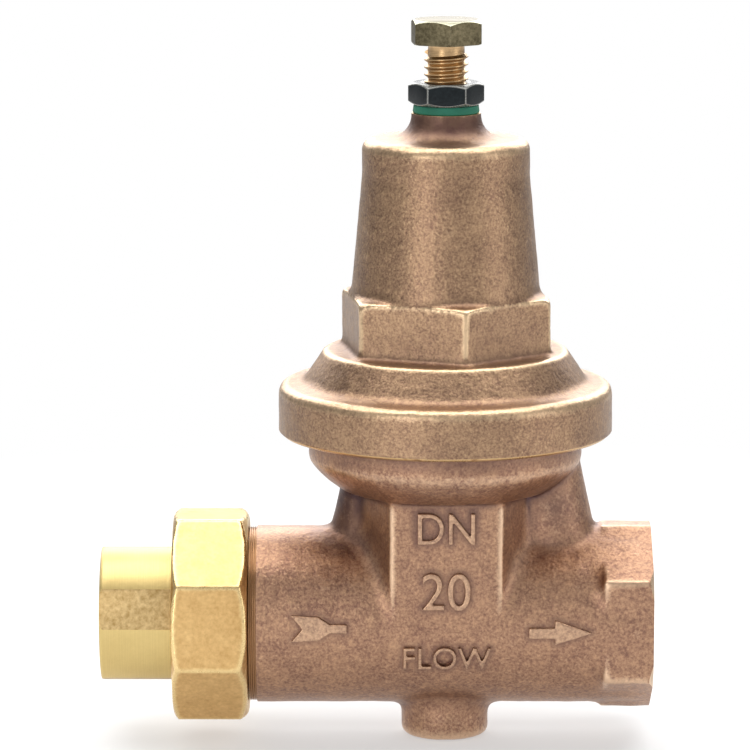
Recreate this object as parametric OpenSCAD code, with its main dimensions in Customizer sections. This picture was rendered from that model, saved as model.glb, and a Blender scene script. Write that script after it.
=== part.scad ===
// Pressure reducing valve with a union inlet, a screwed-on spring bell and an adjusting screw.
// The flow runs along +X, the spring bell stands along +Z. The origin is the centre of the outlet mouth.
// Screw threads are drawn as rings at their real pitch on the male parts and as plain bores in the female parts.

/* [Flow line] */
// Distance from the stem axis to the outlet face
outlet_reach = 44.8; // [42:0.2:60]
// Distance from the stem axis to the union end of the body
inlet_reach = 50; // [46:0.2:65]
// Outside diameter of the cast pipe run
run_d = 38.6; // [37:0.2:46.4]
// Bore of the inlet waterway
inlet_bore = 18; // [14:0.5:19]
// Across flats of the hexagon on the outlet
outlet_hex_af = 38; // [36:0.2:46]
// Length of the hexagon on the outlet
outlet_hex_len = 10.8; // [8:0.2:14]
// Inside diameter of the pipe threads, at their crests
port_bore = 24.2; // [20:0.1:25]
// Depth of the outlet pipe thread
port_depth = 15.5; // [12:0.5:17]

/* [Column and boss] */
// Width of the flat panels on the front and back of the column
panel_w = 23.8; // [18:0.2:26]
// Distance across the side corners of the column
column_w = 45.2; // [42:0.2:50]
// Diameter of the boss under the body
boss_d = 19; // [17:0.2:22]
// Height from the flow axis down to the foot of the boss
boss_drop = 26.7; // [25:0.2:32]
// Diameter of the outlet passage that climbs to the bowl
riser_bore = 9.6; // [7:0.2:10.4]
// Wall round the outlet passage
riser_wall = 4.8; // [3:0.2:5]

/* [Bowl and rim] */
// Height of the rim's lower face above the flow axis
rim_base = 40.7; // [40:0.1:50]
// Outside diameter of the bell rim
rim_d = 72.6; // [70:0.2:90]
// Height of the bell rim
rim_h = 10.3; // [10:0.1:14]
// Wall of the bell rim outside its thread
rim_wall = 3.4; // [2.8:0.2:5]
// Outside diameter of the bowl under the rim
bowl_d = 59.4; // [58:0.2:62]
// Wall of the bowl
bowl_wall = 3.7; // [3:0.1:5]
// Height of the screwed joint between body and bell
bell_thread_h = 5.6; // [5:0.1:6]

/* [Spring bell] */
// Lower diameter of the tapered shoulder above the rim
shoulder_d = 61.2; // [58:0.2:66]
// Height of the tapered shoulder
shoulder_h = 7.9; // [6:0.1:10]
// Across flats of the wrench hexagon
bell_hex_af = 41.8; // [40:0.2:50]
// Height of the wrench hexagon
bell_hex_h = 12.2; // [10:0.2:18]
// Turn of the wrench hexagon about the bell axis, as it was screwed home
bell_hex_turn = -20.6; // [-30:0.2:30]
// Upper diameter of the tapered bell
bell_top_d = 36.2; // [34:0.2:40]
// Height of the tapered bell above the hexagon
bell_cone_h = 33.8; // [32:0.2:50]
// Diameter of the neck round the adjusting screw
neck_d = 15; // [14.4:0.2:20]
// Height of the neck
neck_h = 5.5; // [5:0.1:8]
// Wall of the bell
bell_wall = 3.6; // [3:0.1:4.5]

/* [Adjusting screw] */
// Major diameter of the adjusting screw
screw_d = 9.5; // [7.9:0.1:11.5]
// Pitch of the adjusting screw
screw_pitch = 1.5875; // [1.2:0.0125:2]
// Across flats of the screw head and of the lock nut
screw_hex_af = 14.3; // [13:0.1:17]
// Height of the screw head
screw_head_h = 5.2; // [4:0.1:7]
// Clear length between the lock nut and the screw head
screw_standout = 8.3; // [7:0.1:12]
// Height of the lock nut
lock_nut_h = 4.8; // [4:0.1:8]
// Thickness of the sealing washer
seal_washer_t = 1.8; // [1:0.1:3]

/* [Valve works] */
// Bore of the strainer chamber and of the cage seat
chamber_d = 26; // [23:0.2:27]
// Diameter of the cage flange
cage_flange_d = 32; // [30:0.2:33]
// Thickness of the cage flange
cage_flange_t = 2.8; // [2:0.1:3]
// Bore of the valve seat
seat_bore = 14; // [11.6:0.1:17]
// Full lift of the stem from open to shut
stem_lift = 2.9; // [2:0.1:3.4]
// Diameter of the stem above the disc
stem_d = 6; // [5:0.1:7]
// Diameter of the stem's guided tail
guide_d = 8; // [7:0.1:9]
// Thickness of the seat disc
disc_t = 2.5; // [2:0.1:3]
// Thickness of the diaphragm
diaphragm_t = 1.4; // [1:0.1:2]
// Thickness of the friction ring above the diaphragm
friction_ring_t = 0.7; // [0.4:0.1:1.2]
// Diameter of the plates that clamp the diaphragm
plate_d = 30; // [28:0.2:34]
// Thickness of the plates that clamp the diaphragm
plate_t = 2; // [1.5:0.1:2.5]
// Wire diameter of the adjusting spring
wire_d = 3.6; // [3:0.1:4]
// Mean coil diameter of the adjusting spring
coil_d = 21.6; // [20:0.2:23]
// Number of turns of the adjusting spring, closed ends included
coil_turns = 7; // [5:0.5:9]

/* [Union] */
// Major diameter of the union thread
union_thread_d = 36; // [34:0.2:37]
// Pitch of the union thread
union_pitch = 2.2; // [1.8:0.1:2.5]
// Wall of the union nut across its flats
union_nut_wall = 4; // [3.4:0.1:6]
// Length of the union nut
union_nut_len = 16.4; // [15:0.2:20]
// Turn of the union nut, as it was tightened
union_nut_turn = 3.5; // [-20:0.5:20]
// Length of the collar between the nut and the casting
collar_len = 1.7; // [1:0.1:3]
// Thickness of the union gasket
gasket_t = 1.8; // [1:0.1:2.5]
// Outside diameter of the tailpiece
tail_d = 30; // [28:0.2:31]
// Thickness of the tailpiece flange
tail_flange_t = 3.4; // [2.5:0.1:4]
// Length of the tailpiece that stands out of the nut
tail_standout = 15.8; // [12:0.2:25]
// Bore of the tailpiece waterway
tail_bore = 19; // [16:0.5:20]

/* [Hidden] */
$fn = 96;

// Clearances
run_fit = 0.06;     // a turning or sliding pair, on the radius
loose_fit = 0.3;    // a part that only has to pass, on the radius
hair_gap = 0.05;    // faces that nearly touch

// Radii that follow from the driving diameters
run_r = run_d / 2;
chamber_r = chamber_d / 2;
bowl_r = bowl_d / 2;
rim_r = rim_d / 2;
bell_thread_r = rim_r - rim_wall;
union_r = union_thread_d / 2;
tail_r = tail_d / 2;
screw_r = screw_d / 2;
hex_corner = 1 / cos(30);
oct_corner = 1 / cos(22.5);

// Heights of the casting, from the flow axis
wall_min = 3.1;
chamber_floor = -sqrt(pow(run_r - wall_min, 2) - pow(chamber_r, 2));
diaphragm_seat = rim_base + bell_thread_h;
bell_seat = diaphragm_seat + diaphragm_t + friction_ring_t;
rim_top = rim_base + rim_h;
shoulder_top = rim_top + shoulder_h;
shoulder_taper = 4.3;
bell_hex_top = shoulder_top + bell_hex_h;
dome_top = bell_hex_top + bell_cone_h;
neck_top = dome_top + neck_h;
washer_top = neck_top + seal_washer_t;
lock_nut_top = washer_top + lock_nut_h;
head_base = lock_nut_top + screw_standout;
dome_round = 2.4;
neck_flare = min(neck_h - 0.4, bell_top_d / 2 - dome_round - neck_d / 2 - 0.5);
rim_round = 1.6;

// Bowl
bowl_straight = 5.1;
bowl_foot_z = rim_base - 12.1;
bowl_foot_r = column_w / 2;
bowl_bore_r = bowl_r - bowl_wall;
bowl_floor = bowl_foot_z + 1.8;
bowl_flare_z = bowl_floor + 6.4;

// Cage, seat and strainer, hung from the floor of the bowl
cage_shoulder = bowl_floor - cage_flange_t;
cage_counterbore_r = cage_flange_d / 2 + hair_gap * 2;
cage_foot = bowl_floor - 12.1;
seat_ring_r = chamber_r - 1.5;
seat_ring_top = cage_foot + 3.8;
seat_lip_h = 0.8;
seat_lip_w = 1.2;
seat_face = cage_foot - seat_lip_h;
disc_margin = 0.3;
disc_r = seat_bore / 2 + seat_lip_w + disc_margin;
o_ring_d = 1.76;
o_ring_z = (seat_ring_top + cage_shoulder) / 2;
o_ring_groove_r = chamber_r - o_ring_d - hair_gap;

// Stem and what it carries, at full opening
disc_top = seat_face - stem_lift - hair_gap;
disc_base = disc_top - disc_t;
holder_t = 4;
holder_rim = 0.8;
disc_washer_t = 1;
disc_nut_af = 9;
disc_nut_h = 2.4;
foot_wall = 6.6;
guide_floor = foot_wall - boss_drop;
stem_foot = guide_floor + 1;
bush_wall = 1.5;
half_lift = stem_lift / 2;
hub_diaphragm_z = diaphragm_seat - half_lift;
lower_plate_z = hub_diaphragm_z - plate_t;
upper_plate_z = hub_diaphragm_z + diaphragm_t;
spring_foot = upper_plate_z + plate_t;
lock_washer_t = 1;
stem_nut_af = 10;
stem_nut_h = 4.4;
stem_top = spring_foot + lock_washer_t + stem_nut_h + 1;

// Spring, button and screw in the bell
bell_roof = dome_top - 6;
button_t = 3.6;
button_hub_h = 2.6;
button_gap = 4.4;
button_top = bell_roof - button_gap;
button_base = button_top - button_t;
button_recess = 1.5;
spring_out_r = (coil_d + wire_d) / 2;
spring_in_r = (coil_d - wire_d) / 2;
screw_tip = button_top - button_recess;

// Inside of the bell
bell_bore_low_r = bell_thread_r - 9;
bell_bore_hex_r = bell_hex_af / 2 - bell_wall;
bell_bore_top_r = bell_top_d / 2 - bell_wall + 0.2;

// Union, from the union end of the body towards the inlet
flange_right = -inlet_reach - gasket_t;
flange_left = flange_right - tail_flange_t;
nut_right = -(run_collar_x() + collar_len) - loose_fit / 2;
nut_left = nut_right - union_nut_len;
tail_left = nut_left - tail_standout;
nut_bore_r = union_r + run_fit;
union_nut_af = 2 * (union_r + union_nut_wall);
tail_flange_r = nut_bore_r - loose_fit;
tail_flat = 0.66;   // depth of each wrench flat on the tailpiece
union_thread_len = inlet_reach - run_collar_x() - collar_len;

// Distance from the stem axis to the end of the rough casting on the inlet side
function run_collar_x() = inlet_reach - 9;

// Points of a circular arc about [cx, cy]
function arc(cx, cy, r, a0, a1, n = 8) =
    [for (i = [0 : n]) [cx + r * cos(a0 + (a1 - a0) * i / n), cy + r * sin(a0 + (a1 - a0) * i / n)]];

// Puts the stem axis at its distance from the origin
module place() {
    translate([-outlet_reach, 0, 0]) children();
}

// Cylinder along X from x0 to x1
module along_x(x0, x1, r, r2 = -1) {
    translate([x0, 0, 0]) rotate([0, 90, 0]) cylinder(h = x1 - x0, r1 = r, r2 = r2 < 0 ? r : r2);
}

// Cylinder along Z from z0 to z1
module along_z(z0, z1, r, r2 = -1) {
    translate([0, 0, z0]) cylinder(h = z1 - z0, r1 = r, r2 = r2 < 0 ? r : r2);
}

// Plain ring from z0 to z1
module ring_z(z0, z1, r_in, r_out) {
    difference() {
        along_z(z0, z1, r_out);
        along_z(z0 - 1, z1 + 1, r_in);
    }
}

// Hexagonal prism along Z, its corners trimmed by a chamfer at either end
module hex_z(z0, z1, af, turn = 0, chamfer_low = 0, chamfer_top = 0) {
    corner_r = af / 2 * hex_corner;
    flat_r = af / 2;
    intersection() {
        rotate([0, 0, turn]) translate([0, 0, z0]) cylinder(h = z1 - z0, r = corner_r, $fn = 6);
        rotate_extrude() polygon([[0, z0], [flat_r * 0.97 + (corner_r - flat_r) * (1 - chamfer_low), z0],
                                  [corner_r + 0.1, z0 + chamfer_low * (corner_r - flat_r * 0.9) * 0.6],
                                  [corner_r + 0.1, z1 - chamfer_top * (corner_r - flat_r * 0.9) * 0.6],
                                  [flat_r * 0.97 + (corner_r - flat_r) * (1 - chamfer_top), z1], [0, z1]]);
    }
}

// Solid of revolution about Z with ring crests at a pitch, from z = 0 to len
module ring_thread(r, pitch, len) {
    depth = pitch * 0.6;
    turns = floor(len / pitch);
    spare = (len - turns * pitch) / 2;
    rotate_extrude() polygon(concat(
        [[0, 0], [r - depth, 0]],
        [for (i = [0 : turns - 1]) each [[r - depth, spare + i * pitch + 0.06 * pitch],
                                         [r, spare + i * pitch + 0.42 * pitch],
                                         [r, spare + i * pitch + 0.58 * pitch],
                                         [r - depth, spare + i * pitch + 0.94 * pitch]]],
        [[r - depth, len], [0, len]]));
}

// Outer form of the body
module run() {
    along_x(-run_collar_x(), outlet_reach - outlet_hex_len, run_r);
    along_x(-run_collar_x() - collar_len, -run_collar_x(), run_r - 0.4);
}

module union_end() {
    translate([-inlet_reach, 0, 0]) rotate([0, 90, 0])
        ring_thread(union_r, union_pitch, inlet_reach - run_collar_x() - collar_len);
}

module outlet_hex() {
    corner_r = outlet_hex_af / 2 * hex_corner;
    blunt = corner_r - 1.7;
    intersection() {
        translate([outlet_reach - outlet_hex_len, 0, 0]) rotate([0, 90, 0])
            cylinder(h = outlet_hex_len, r = corner_r, $fn = 6);
        union() {
            along_x(outlet_reach - outlet_hex_len, outlet_reach - 1.2, corner_r + 1);
            along_x(outlet_reach - 1.2, outlet_reach, corner_r + 0.3, corner_r - 1.8);
        }
        translate([0, -corner_r, -blunt]) cube([outlet_reach + 1, corner_r * 2, blunt * 2]);
    }
}

module column() {
    translate([0, 0, 0]) linear_extrude(height = bowl_foot_z + 2)
        polygon([[-column_w / 2, 0], [-panel_w / 2, -run_r], [panel_w / 2, -run_r],
                 [column_w / 2, 0], [panel_w / 2, run_r], [-panel_w / 2, run_r]]);
}

module bowl_form() {
    round_h = rim_base - bowl_straight - bowl_foot_z;
    round_w = bowl_r - bowl_foot_r;
    rotate_extrude() polygon(concat(
        [[0, bowl_foot_z]],
        [for (i = [0 : 8]) [bowl_foot_r + round_w * (1 - pow(1 - i / 8, 1.5)), bowl_foot_z + round_h * i / 8]],
        [[bowl_r, rim_base + 0.4], [0, rim_base + 0.4]]));
    translate([0, 0, rim_base + 0.4])
        ring_thread(bell_thread_r - run_fit, bell_thread_h / 3, bell_thread_h - 0.4);
}

// Leaning boss round the passage from the outlet up to the bowl
riser_low_x = chamber_r + wall_min + riser_bore / 2 + 4.7;
riser_lean = 8.5;
riser_boss_shift = 1.5;
riser_boss_lean = 12.5;
module riser_boss() {
    translate([riser_low_x + riser_boss_shift, 0, 0]) rotate([0, -riser_boss_lean, 0])
        along_z(0, rim_base - 1, riser_bore / 2 + riser_wall);
}

module riser_passage() {
    translate([riser_low_x, 0, 0]) rotate([0, -riser_lean, 0]) along_z(0, bowl_flare_z + 0.4, riser_bore / 2);
}

// Smaller leaning boss and web in the corner between the column and the inlet side of the run
inlet_lobe_d = 17;
inlet_lobe_x = -column_w / 2 + 3.6;
inlet_lobe_lean = 12;
module inlet_lobe() {
    web_r = 4.6;
    web_w = 10;
    x0 = inlet_lobe_x - inlet_lobe_d / 2 + 2.6;
    z0 = run_r - 3;
    top = bowl_foot_z + 1;
    translate([inlet_lobe_x, 0, 0]) rotate([0, inlet_lobe_lean, 0]) along_z(0, top + 1, inlet_lobe_d / 2);
    translate([0, web_w / 2, 0]) rotate([90, 0, 0]) linear_extrude(height = web_w)
        polygon(concat([[x0, z0], [x0, z0 + 3 + web_r]], arc(x0 - web_r, z0 + 3 + web_r, web_r, 0, -90),
                       [[x0 - web_r, z0]]));
}

module foot_boss() {
    boss_r = boss_d / 2;
    boss_round = 2;
    rotate_extrude() polygon(concat([[0, 0], [0, -boss_drop], [boss_r - boss_round, -boss_drop]],
        arc(boss_r - boss_round, -boss_drop + boss_round, boss_round, -90, 0), [[boss_r, 0]]));
}

// Raised flow arrow: fletching on the inlet side, head on the outlet side
module flow_arrow() {
    raise = 0.5;
    difference() {
        rotate([90, 0, 0]) linear_extrude(height = run_r + raise) {
            polygon([[-35, 2.7], [-24, 2.7], [-22.4, 0], [-24, -2.7], [-35, -2.7], [-32.6, 0]]);
            polygon([[17.5, 1.6], [22, 1.6], [22, 4.2], [32.5, 0], [22, -4.2], [22, -1.6], [17.5, -1.6]]);
        }
        along_x(-inlet_reach, outlet_reach, run_r - 1);
    }
}

module waterways() {
    // inlet, strainer chamber and the seat of the cage
    along_x(-inlet_reach - 1, -chamber_r + 2, inlet_bore / 2);
    along_z(chamber_floor, bowl_floor + 1, chamber_r);
    along_z(cage_shoulder, bowl_floor + 1, cage_counterbore_r);
    // guide in the boss
    along_z(guide_floor, chamber_floor + 1, guide_d / 2 + run_fit + bush_wall);
    // bowl
    rotate_extrude() polygon([[0, bowl_floor], [cage_counterbore_r + 1, bowl_floor],
                              [bowl_bore_r, bowl_flare_z], [bowl_bore_r, diaphragm_seat + 1],
                              [0, diaphragm_seat + 1]]);
    // outlet thread, its run-out and the riser
    along_x(outlet_reach - port_depth, outlet_reach + 1, port_bore / 2);
    along_x(outlet_reach - port_depth - 4, outlet_reach - port_depth, riser_bore / 2 + 1, port_bore / 2);
    along_x(riser_low_x - riser_bore / 2, outlet_reach - port_depth - 3.9, riser_bore / 2 + 1);
    riser_passage();
}

module body() {
    color([0.58, 0.42, 0.31]) place() difference() {
        union() {
            run();
            union_end();
            outlet_hex();
            column();
            bowl_form();
            riser_boss();
            inlet_lobe();
            foot_boss();
            flow_arrow();
        }
        waterways();
    }
}

// Bell: rim with its thread, tapered shoulder, hexagon, tapered barrel and neck
module bell_form() {
    rotate_extrude() polygon(concat(
        [[0, rim_base], [rim_r - 0.5, rim_base], [rim_r, rim_base + 0.7]],
        arc(rim_r - rim_round, rim_top - rim_round, rim_round, 0, 90),
        [[shoulder_d / 2 + 1.2, rim_top + 0.1], [shoulder_d / 2, rim_top + 1.1],
         [shoulder_d / 2 - shoulder_taper, shoulder_top], [0, shoulder_top]]));
    hex_z(shoulder_top - 0.5, bell_hex_top, bell_hex_af, bell_hex_turn, 0, 0.4);
    rotate_extrude() polygon(concat(
        [[0, shoulder_top], [bell_hex_af / 2 - 0.3, bell_hex_top - 1],
         [bell_hex_af / 2 - 0.3, bell_hex_top], [bell_top_d / 2, dome_top - 8]],
        arc(bell_top_d / 2 - dome_round, dome_top - dome_round, dome_round, 0, 90),
        [[neck_d / 2 + neck_flare, dome_top]],
        arc(neck_d / 2 + neck_flare, dome_top + neck_flare, neck_flare, -90, -180),
        [[neck_d / 2, neck_top], [0, neck_top]]));
}

module bell_bore() {
    along_z(rim_base - 1, diaphragm_seat, bell_thread_r);
    along_z(diaphragm_seat - 0.1, bell_seat, bell_thread_r);
    rotate_extrude() polygon([[0, bell_seat - 1], [bell_bore_low_r, bell_seat - 1],
                              [bell_bore_low_r, rim_top + 1.5], [bell_bore_hex_r, shoulder_top + 2],
                              [bell_bore_hex_r, bell_hex_top - 1], [bell_bore_top_r, bell_roof], [0, bell_roof]]);
    along_z(bell_roof - 1, neck_top + 1, screw_r + run_fit);
}

module spring_bell() {
    color([0.63, 0.49, 0.36]) place() difference() {
        bell_form();
        bell_bore();
    }
}

module adjusting_screw() {
    thread_len = head_base - 1.6 - screw_tip;
    color([0.62, 0.55, 0.33]) place() {
        translate([0, 0, screw_tip]) ring_thread(screw_r, screw_pitch, thread_len);
        along_z(head_base - 1.7, head_base + 0.1, screw_r - 0.9);
        hex_z(head_base, head_base + screw_head_h, screw_hex_af, -24.4, 0, 0.5);
    }
}

module lock_nut() {
    color([0.16, 0.18, 0.19]) place() difference() {
        hex_z(washer_top, lock_nut_top, screw_hex_af, 0, 0.8, 0.8);
        along_z(washer_top - 1, lock_nut_top + 1, screw_r + run_fit);
        along_z(lock_nut_top - 0.5, lock_nut_top + 0.01, screw_r, screw_r + 0.6);
    }
}

module seal_washer() {
    color([0.05, 0.42, 0.32]) place()
        ring_z(neck_top, washer_top, screw_r + run_fit * 2, min(screw_hex_af / 2 + 0.2, neck_d / 2 - 0.3));
}

module spring_button() {
    color([0.5, 0.5, 0.48]) place() difference() {
        union() {
            along_z(button_base, button_top, spring_out_r);
            along_z(button_base - button_hub_h, button_base, spring_in_r - loose_fit, spring_in_r - loose_fit);
        }
        along_z(screw_tip, button_top + 1, screw_r + loose_fit);
    }
}

// Centre line of the spring at turn t, with closed ends
spring_span = button_base - spring_foot - wire_d - 2 * hair_gap;
function spring_rise(t) =
    let (open = coil_turns - 2, u = min(max((t - 1) / open, 0), 1)) u * (spring_span - 1) + 0.5 * min(t, 1)
        + 0.5 * min(max(t - coil_turns + 1, 0), 1);
module adjusting_spring() {
    sides = 8;
    per_turn = 20;
    rings = coil_turns * per_turn;
    points = [for (k = [0 : rings]) let (t = k / per_turn, a = 360 * t)
        for (s = [0 : sides - 1]) let (b = 360 * s / sides, r = coil_d / 2 + wire_d / 2 * cos(b))
            [r * cos(a), r * sin(a), spring_foot + hair_gap + wire_d / 2 + spring_rise(t) + wire_d / 2 * sin(b)]];
    skin = [for (k = [0 : rings - 1]) for (s = [0 : sides - 1]) let (n = (s + 1) % sides)
        [k * sides + s, k * sides + n, (k + 1) * sides + n, (k + 1) * sides + s]];
    ends = [[for (s = [sides - 1 : -1 : 0]) s], [for (s = [0 : sides - 1]) rings * sides + s]];
    color([0.32, 0.34, 0.36]) place() polyhedron(points = points, faces = concat(skin, ends));
}

module friction_ring() {
    color([0.72, 0.72, 0.7]) place()
        ring_z(bell_seat - friction_ring_t, bell_seat, bell_bore_low_r + 1, bell_thread_r - loose_fit);
}

module diaphragm() {
    hub_r = plate_d / 2 + 1;
    roll_r = bowl_bore_r - 0.6;
    color([0.1, 0.1, 0.1]) place() rotate_extrude() polygon([
        [stem_d / 2 + run_fit, hub_diaphragm_z], [hub_r, hub_diaphragm_z], [roll_r, diaphragm_seat],
        [bell_thread_r - loose_fit, diaphragm_seat], [bell_thread_r - loose_fit, diaphragm_seat + diaphragm_t],
        [roll_r, diaphragm_seat + diaphragm_t], [hub_r, hub_diaphragm_z + diaphragm_t],
        [stem_d / 2 + run_fit, hub_diaphragm_z + diaphragm_t]]);
}

module upper_plate() {
    lip_h = 1.2;
    color([0.7, 0.71, 0.72]) place() {
        ring_z(upper_plate_z, spring_foot, stem_d / 2 + run_fit, plate_d / 2);
        ring_z(spring_foot, spring_foot + lip_h, spring_out_r + loose_fit, plate_d / 2);
    }
}

module lower_plate() {
    color([0.75, 0.6, 0.33]) place() ring_z(lower_plate_z, hub_diaphragm_z, stem_d / 2 + run_fit, plate_d / 2);
}

module lock_washer() {
    color([0.6, 0.6, 0.6]) place()
        ring_z(spring_foot, spring_foot + lock_washer_t, stem_d / 2 + run_fit, stem_nut_af / 2 + 0.6);
}

module stem_nut() {
    z0 = spring_foot + lock_washer_t;
    color([0.7, 0.7, 0.68]) place() difference() {
        hex_z(z0, z0 + stem_nut_h, stem_nut_af, 12, 0, 0.8);
        along_z(z0 - 1, z0 + stem_nut_h + 1, stem_d / 2 + run_fit);
    }
}

module valve_stem() {
    color([0.76, 0.62, 0.36]) place() {
        along_z(stem_foot, stem_foot + 0.8, guide_d / 2 - 0.8, guide_d / 2);
        along_z(stem_foot + 0.8, disc_base - holder_t, guide_d / 2);
        along_z(disc_base - holder_t, disc_base, disc_r + holder_rim);
        ring_z(disc_base - 0.1, disc_top - 0.9, disc_r + hair_gap, disc_r + holder_rim);
        along_z(disc_base - 0.1, lower_plate_z, stem_d / 2 + 0.6);
        along_z(lower_plate_z, stem_top, stem_d / 2);
    }
}

module seat_disc() {
    color([0.12, 0.12, 0.12]) place() ring_z(disc_base, disc_top, stem_d / 2 + 0.6 + hair_gap, disc_r);
}

module disc_washer() {
    color([0.72, 0.72, 0.72]) place()
        ring_z(disc_top, disc_top + disc_washer_t, stem_d / 2 + 0.6 + hair_gap, seat_bore / 2 - 1);
}

module disc_nut() {
    z0 = disc_top + disc_washer_t;
    color([0.72, 0.6, 0.36]) place() difference() {
        hex_z(z0, z0 + disc_nut_h, disc_nut_af, 20, 0, 0.8);
        along_z(z0 - 1, z0 + disc_nut_h + 1, stem_d / 2 + 0.6 + run_fit);
    }
}

module seat_ring() {
    color([0.74, 0.75, 0.76]) place() {
        ring_z(cage_foot, seat_ring_top, seat_bore / 2, seat_ring_r);
        ring_z(seat_face, cage_foot + 0.1, seat_bore / 2, seat_bore / 2 + seat_lip_w);
    }
}

module cage() {
    color([0.7, 0.56, 0.32]) place() difference() {
        union() {
            along_z(cage_foot, cage_shoulder + 0.1, chamber_r - run_fit);
            along_z(cage_shoulder, bowl_floor, cage_flange_d / 2);
        }
        along_z(cage_foot - 1, seat_ring_top, seat_ring_r);
        along_z(seat_ring_top - 1, bowl_floor + 1, seat_bore / 2 + 1);
        ring_z(o_ring_z - o_ring_d / 2 - 0.3, o_ring_z + o_ring_d / 2 + 0.3, o_ring_groove_r, chamber_r + 1);
    }
}

module cage_o_ring() {
    color([0.08, 0.08, 0.08]) place() translate([0, 0, o_ring_z])
        rotate_extrude() translate([o_ring_groove_r + hair_gap / 2 + o_ring_d / 2, 0]) circle(r = o_ring_d / 2, $fn = 32);
}

// Slotted basket round the stem, between the chamber floor and the cage: hoops joined by upright bars
module strainer() {
    out_r = chamber_r - loose_fit;
    wall = 0.5;
    low = chamber_floor;
    high = cage_foot - hair_gap;
    bars = 12;
    bar_w = 1.8;
    hoops = 6;
    hoop_h = 1.6;
    step = (high - low - hoop_h) / (hoops - 1);
    color([0.7, 0.7, 0.7]) place() {
        for (r = [0 : hoops - 1]) ring_z(low + step * r, low + step * r + hoop_h, out_r - wall, out_r);
        translate([0, 0, low]) linear_extrude(height = high - low) for (c = [0 : bars - 1])
            rotate([0, 0, 360 / bars * c]) translate([out_r - wall, -bar_w / 2])
                square([wall * 0.9, bar_w]);
    }
}

module guide_bush() {
    in_r = guide_d / 2 + run_fit;
    color([0.85, 0.83, 0.76]) place() ring_z(guide_floor, chamber_floor, in_r, in_r + bush_wall);
}

module union_nut() {
    corner_r = union_nut_af / 2 * oct_corner;
    flat_r = union_nut_af / 2;
    color([0.85, 0.68, 0.38]) place() difference() {
        intersection() {
            translate([nut_left, 0, 0]) rotate([0, 90, 0]) rotate([0, 0, 22.5 - union_nut_turn])
                cylinder(h = union_nut_len, r = corner_r, $fn = 8);
            union() {
                along_x(nut_left, nut_left + 1.2, flat_r - 0.3, corner_r + 0.4);
                along_x(nut_left + 1.2, nut_right - 1.6, corner_r + 1);
                along_x(nut_right - 1.6, nut_right, corner_r + 0.4, flat_r - 0.5);
            }
        }
        along_x(nut_left - 1, flange_left, tail_r + loose_fit);
        along_x(flange_left - hair_gap, nut_right + 1, nut_bore_r);
        along_x(nut_right - 0.8, nut_right + 0.01, nut_bore_r, nut_bore_r + 0.8);
    }
}

module tailpiece() {
    color([0.9, 0.78, 0.42]) place() difference() {
        union() {
            along_x(flange_left, flange_right, tail_flange_r);
            along_x(tail_left + 0.5, flange_left, tail_r);
            along_x(tail_left, tail_left + 0.5, tail_r - 0.5, tail_r);
        }
        for (side = [0 : 3]) rotate([90 * side - 16, 0, 0])
            translate([tail_left - 1, -tail_r - 1, -tail_r]) cube([tail_standout - 0.5, 1 + tail_flat, tail_d]);
        along_x(tail_left - 1, tail_left + port_depth, port_bore / 2);
        along_x(tail_left + port_depth - 0.01, tail_left + port_depth + 2.5, port_bore / 2, tail_bore / 2);
        along_x(tail_left + port_depth, flange_right + 1, tail_bore / 2);
    }
}

module union_gasket() {
    color([0.2, 0.2, 0.2]) place() difference() {
        along_x(flange_right, -inlet_reach, tail_flange_r - 1);
        along_x(flange_right - 1, -inlet_reach + 1, tail_bore / 2 + 0.5);
    }
}

body();
spring_bell();
adjusting_screw();
lock_nut();
seal_washer();
spring_button();
adjusting_spring();
friction_ring();
diaphragm();
upper_plate();
lower_plate();
lock_washer();
stem_nut();
valve_stem();
seat_disc();
disc_washer();
disc_nut();
seat_ring();
cage();
cage_o_ring();
strainer();
guide_bush();
union_nut();
tailpiece();
union_gasket();
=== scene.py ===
"""Pressure reducing valve: the castings, fittings, finishes and studio seen from outside."""
import logging
import math
from dataclasses import dataclass
from enum import Enum
from typing import Any, Iterable, Sequence

import bmesh
import bpy
import numpy as np
from mathutils import Matrix, Vector, noise
from mathutils.bvhtree import BVHTree
from mathutils.kdtree import KDTree


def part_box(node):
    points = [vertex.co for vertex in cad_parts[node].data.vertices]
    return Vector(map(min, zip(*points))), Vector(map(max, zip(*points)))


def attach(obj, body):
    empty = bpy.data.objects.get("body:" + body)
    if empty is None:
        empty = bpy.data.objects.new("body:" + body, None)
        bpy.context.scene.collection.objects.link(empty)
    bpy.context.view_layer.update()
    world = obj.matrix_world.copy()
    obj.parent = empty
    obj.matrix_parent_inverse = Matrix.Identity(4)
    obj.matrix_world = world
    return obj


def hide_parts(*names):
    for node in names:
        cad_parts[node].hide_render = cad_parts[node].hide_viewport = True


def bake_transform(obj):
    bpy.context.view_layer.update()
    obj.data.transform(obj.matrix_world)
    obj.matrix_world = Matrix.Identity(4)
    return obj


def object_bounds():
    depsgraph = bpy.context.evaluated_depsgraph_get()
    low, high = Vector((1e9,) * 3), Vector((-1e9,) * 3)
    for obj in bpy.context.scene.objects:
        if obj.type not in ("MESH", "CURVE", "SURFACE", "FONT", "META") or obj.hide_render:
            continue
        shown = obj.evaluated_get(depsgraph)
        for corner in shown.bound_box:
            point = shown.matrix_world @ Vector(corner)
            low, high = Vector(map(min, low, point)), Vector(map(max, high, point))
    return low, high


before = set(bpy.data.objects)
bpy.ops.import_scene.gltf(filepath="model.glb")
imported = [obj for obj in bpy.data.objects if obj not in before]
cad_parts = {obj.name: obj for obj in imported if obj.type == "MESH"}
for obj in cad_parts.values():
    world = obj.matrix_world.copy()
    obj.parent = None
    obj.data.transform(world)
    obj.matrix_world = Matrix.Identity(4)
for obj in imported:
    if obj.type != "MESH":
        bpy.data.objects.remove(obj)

CAD_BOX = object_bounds()
MM = 0.001
TAU = math.tau
LOG = logging.getLogger("valve")
STEM_X = sum(corner.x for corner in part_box("adjusting_screw")) / 2

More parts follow.
